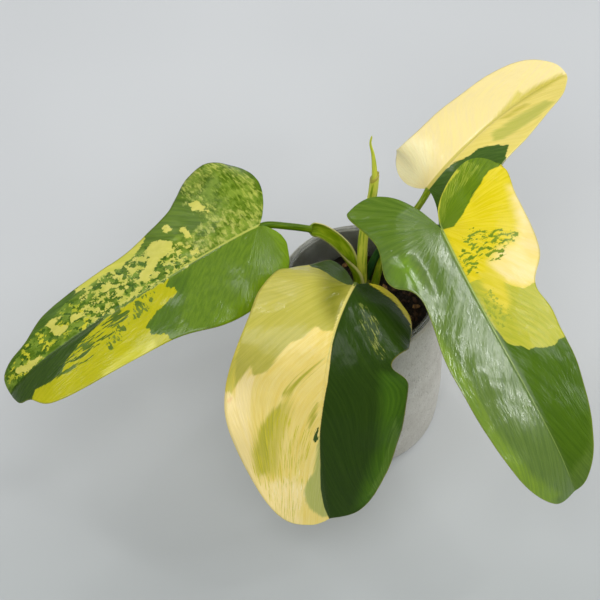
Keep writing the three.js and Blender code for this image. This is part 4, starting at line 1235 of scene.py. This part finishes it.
def soil_finish():
    """Damp dark grains with lighter fibres."""
    finish = Finish("potting_mix", roughness=0.95, specular=0.25)
    place = finish.place()
    grains = finish.noise(place, 700.0, 5.0, 0.7)
    patches = finish.noise(place, 130.0, 3.0)
    colour = finish.two_tone(grains, 0.35, 0.62, (17, 14, 11), (46, 38, 28))
    colour = finish.mix(finish.between(patches, 0.55, 0.75, 0.0, 0.5), colour, paint(74, 58, 34))
    colour = finish.mix(finish.between(grains, 0.66, 0.74, 0.0, 0.7), colour, paint(146, 126, 84))
    finish.colour(colour)
    finish.bump(grains, 1.2)
    return finish.material


def make_potting_mix():
    """A grid rolled into a lump: its first rows are the top, the next the side, the last the foot."""
    bm, grid = grid_of(150, 70)
    angle = np.pi * grid[:, 0]
    cosine, sine = np.cos(angle), np.sin(angle)
    ring = (grid[:, 1] + 1) / 2
    top = ring < MIX_TOP_ROWS
    down = np.clip((ring - MIX_TOP_ROWS) / (MIX_SIDE_ROWS - MIX_TOP_ROWS), 0, 1)
    side_radius = MIX_TOP_RADIUS + (MIX_FOOT_RADIUS - MIX_TOP_RADIUS) * down
    side_radius = np.where(ring > MIX_SIDE_ROWS + 0.005, 0, side_radius)
    radius = np.where(top, MIX_TOP_RADIUS * ring / MIX_TOP_ROWS, side_radius)
    x, y = radius * cosine, radius * sine
    rough = np.array([noise.fractal(Vector((a * 0.28, b * 0.28, 3.0)), 0.7, 2.1, 4) for a, b in zip(x, y)])
    lumpy = mix_surface(x, y) + MIX_ROUGHNESS * rough * climb(radius, MIX_TOP_RADIUS, MIX_TOP_RADIUS - 3)
    rim = mix_surface(MIX_TOP_RADIUS * cosine, MIX_TOP_RADIUS * sine)
    z = np.where(top, lumpy, rim + (MIX_BOTTOM - rim) * down)
    closed_tube(bm, np.stack([x, y, z], 1), {})
    mesh = mesh_from(bm, "potting_mix")
    mesh.materials.append(soil_finish())
    new_piece("mix_surface", mesh, "potting_mix", "potting_mix")


# Loose chips of bark. Large ones have their x, y, length and turn here, the first five about where the
# photograph shows chips.
CHIP_COUNT = 240
CHIP_SEED = 12
CHIP_LENGTHS = (1.6, 5.5)
CHIP_KNOCK = 0.14
CHIP_BREADTH = 0.55
CHIP_FLATNESS = 0.35
LARGE_CHIP_FLATNESS = 0.28
LARGE_CHIP_LIFT = 0.8
CLEAR_OF_STEM = 7.5
PALE_CHIP_EVERY = 6
LARGE_CHIPS = ((-8, 31, 6, 0.4), (-17, 33, 5, 1.2), (15, 14, 6, 2.0), (21, 15, 5, 0.7), (33, 2, 6, 0.2),
               (-22, 22, 7, 0.9), (18, -8, 9, 2.5), (-9, -6, 8, 0.1), (28, -12, 7, 1.0))


def chip_into(bm, rng, x, y, z, length, turn, tilt, flat):
    """One splinter of bark: a flattened lump with its corners knocked about."""
    made = bmesh.ops.create_icosphere(bm, subdivisions=1, radius=0.5)["verts"]
    for vert in made:
        knock = Vector([rng.uniform(-CHIP_KNOCK, CHIP_KNOCK) for _ in range(3)])
        vert.co = (vert.co + knock) * length
        vert.co.y *= CHIP_BREADTH
        vert.co.z *= flat
    bmesh.ops.rotate(bm, verts=made, matrix=Matrix.Rotation(tilt, 3, "Y"))
    bmesh.ops.rotate(bm, verts=made, matrix=Matrix.Rotation(turn, 3, "Z"))
    bmesh.ops.translate(bm, verts=made, vec=Vector((x, y, z)))


def make_chips():
    """Bark chips strewn on the mix, dark and tan, kept clear of the stem."""
    rng = random.Random(CHIP_SEED)
    dark, pale = bmesh.new(), bmesh.new()
    for x, y, length, turn in LARGE_CHIPS:
        z = float(mix_surface(x, y)) + LARGE_CHIP_LIFT
        chip_into(pale, rng, x, y, z, length, turn, rng.uniform(-0.3, 0.3), LARGE_CHIP_FLATNESS)
    for number in range(CHIP_COUNT):
        radius = (MIX_TOP_RADIUS - 3) * math.sqrt(rng.random())
        angle = rng.uniform(0, 2 * math.pi)
        x, y = radius * math.cos(angle), radius * math.sin(angle)
        length = rng.uniform(*CHIP_LENGTHS)
        turn, tilt = rng.uniform(0, math.pi), rng.uniform(-0.5, 0.5)
        if math.hypot(x - STEM["x"], y - STEM["y"]) > CLEAR_OF_STEM + length / 2:
            z = float(mix_surface(x, y)) + rng.uniform(0.2, 0.9)
            heap = pale if number % PALE_CHIP_EVERY == 0 else dark
            chip_into(heap, rng, x, y, z, length, turn, tilt, CHIP_FLATNESS)
    for bm, name, colours in ((dark, "dark_bark", ((40, 28, 20), (74, 52, 34))),
                              (pale, "tan_bark", ((150, 112, 66), (98, 70, 42)))):
        bmesh.ops.recalc_face_normals(bm, faces=bm.faces)
        mesh = mesh_from(bm, name)
        for polygon in mesh.polygons:
            polygon.use_smooth = False
        finish = Finish(name, roughness=0.9, specular=0.3)
        fibres = finish.noise(finish.stretched(finish.place(), (900.0, 420.0, 700.0)), 1.0, 4.0, 0.65)
        finish.colour(finish.two_tone(fibres, 0.35, 0.62, *colours))
        finish.bump(fibres, 0.4)
        mesh.materials.append(finish.material)
        new_piece(name, mesh, "potting_mix")


# Stage, light and camera

# The camera, fitted to the pot's rim and outline in the photograph: degrees, mm and pixels.
CAMERA = {"elevation": 53.8, "distance": 1200, "target": (-34.2, -9.2, 117), "focal_px": 2116,
          "frame_px": 600}
SENSOR = 36

# Lights: azimuth and elevation in degrees, distance, width and height in metres, power in watts.
# Azimuth 0 is behind the plant and 90 to its right. The panes and glints give the blades broken gleams.
LIGHTS = {
    "window_glow": (76, 38, 2.8, 3.5, 1.5, 10.5),
    "pane_back": (54, 46, 2.8, 0.42, 1.2, 5.5),
    "pane_middle": (78, 46, 2.8, 0.42, 1.3, 6),
    "pane_side": (98, 40, 2.8, 0.42, 1.2, 5.5),
    "glint_high": (87, 60, 2.0, 0.15, 0.15, 1.8),
    "glint_low": (68, 36, 2.0, 0.15, 0.15, 1.8),
    "glint_side": (107, 40, 2.0, 0.15, 0.15, 1.8),
    "glint_back": (46, 43, 2.0, 0.15, 0.15, 1.8),
    "front_top": (196, 54, 1.9, 1.35, 1.35, 19),
    "back_left": (-40, 36, 1.9, 1.2, 1.0, 5),
    "glint_left": (-33, 52, 2.0, 0.18, 0.18, 1.6),
}
LIGHT_AIM = (0, 0, 0.12)
ROOM_LIGHT = 0.33

FLOOR_HALF_SIZE = 6
FLOOR_GREYS = ((205, 208, 210), (199, 202, 204))
# Painted shade: the floor turns darker towards the camera, for the soft shadow in front of the plant.
NEAR_FLOOR_PAINTED_SHADE = (160, 167, 165)
PAINTED_SHADE_FADE = (0.05, -0.32)


def make_camera():
    """Looks down on the plant from in front, as the photograph does."""
    rise = math.radians(CAMERA["elevation"])
    target = Vector(CAMERA["target"]) * MM
    back = Vector((0, -math.cos(rise), math.sin(rise)))
    data = bpy.data.cameras.new("camera")
    data.sensor_width = SENSOR
    data.lens = CAMERA["focal_px"] / CAMERA["frame_px"] * SENSOR
    camera = bpy.data.objects.new("camera", data)
    camera.location = target + back * CAMERA["distance"] * MM
    camera.rotation_euler = (math.pi / 2 - rise, 0, 0)
    bpy.context.scene.collection.objects.link(camera)
    bpy.context.scene.camera = camera


def make_floor():
    """A plain pale grey floor, with painted shade that makes it darker towards the camera."""
    bm = bmesh.new()
    bmesh.ops.create_grid(bm, x_segments=2, y_segments=2, size=FLOOR_HALF_SIZE)
    mesh = bpy.data.meshes.new("floor")
    bm.to_mesh(mesh)
    bm.free()
    finish = Finish("floor_grey", roughness=0.9, specular=0.2)
    place = finish.place()
    cloud = finish.noise(place, 3.0, 2.0)
    backdrop = finish.two_tone(cloud, 0.3, 0.7, *FLOOR_GREYS)
    depth = finish.node("ShaderNodeSeparateXYZ", {0: place}).outputs["Y"]
    finish.colour(finish.mix(finish.between(depth, *PAINTED_SHADE_FADE), backdrop, paint(*NEAR_FLOOR_PAINTED_SHADE)))
    mesh.materials.append(finish.material)
    floor = bpy.data.objects.new("floor", mesh)
    bpy.context.scene.collection.objects.link(floor)


def area_light(name, azimuth, elevation, distance, width, height, power):
    """A soft light that looks at the plant."""
    turn, rise = math.radians(azimuth), math.radians(elevation)
    data = bpy.data.lights.new(name, "AREA")
    data.shape = "RECTANGLE"
    data.size, data.size_y = width, height
    data.energy = power
    light = bpy.data.objects.new(name, data)
    way = Vector((math.sin(turn) * math.cos(rise), math.cos(turn) * math.cos(rise), math.sin(rise)))
    light.location = Vector(LIGHT_AIM) + way * distance
    light.rotation_euler = (-way).to_track_quat("-Z", "Y").to_euler()
    bpy.context.scene.collection.objects.link(light)


def make_light():
    """A pale room with its lights, and plain colours without a film look."""
    world = bpy.data.worlds.new("studio")
    world.use_nodes = True
    background = world.node_tree.nodes["Background"]
    background.inputs["Color"].default_value = (1.0, 1.0, 1.0, 1)
    background.inputs["Strength"].default_value = ROOM_LIGHT
    bpy.context.scene.world = world
    for name, settings in LIGHTS.items():
        area_light(name, *settings)
    bpy.context.scene.view_settings.view_transform = "Standard"
    bpy.context.scene.view_settings.look = "None"


make_camera()
make_light()
make_floor()
make_cover_pot()
make_nursery_pot()
make_potting_mix()
make_chips()
make_stem()
for stalk_name in STALKS:
    make_stalk(stalk_name)
make_sheathed_stalk()
make_shoot()
for leaf_name in LEAVES:
    make_leaf(leaf_name)
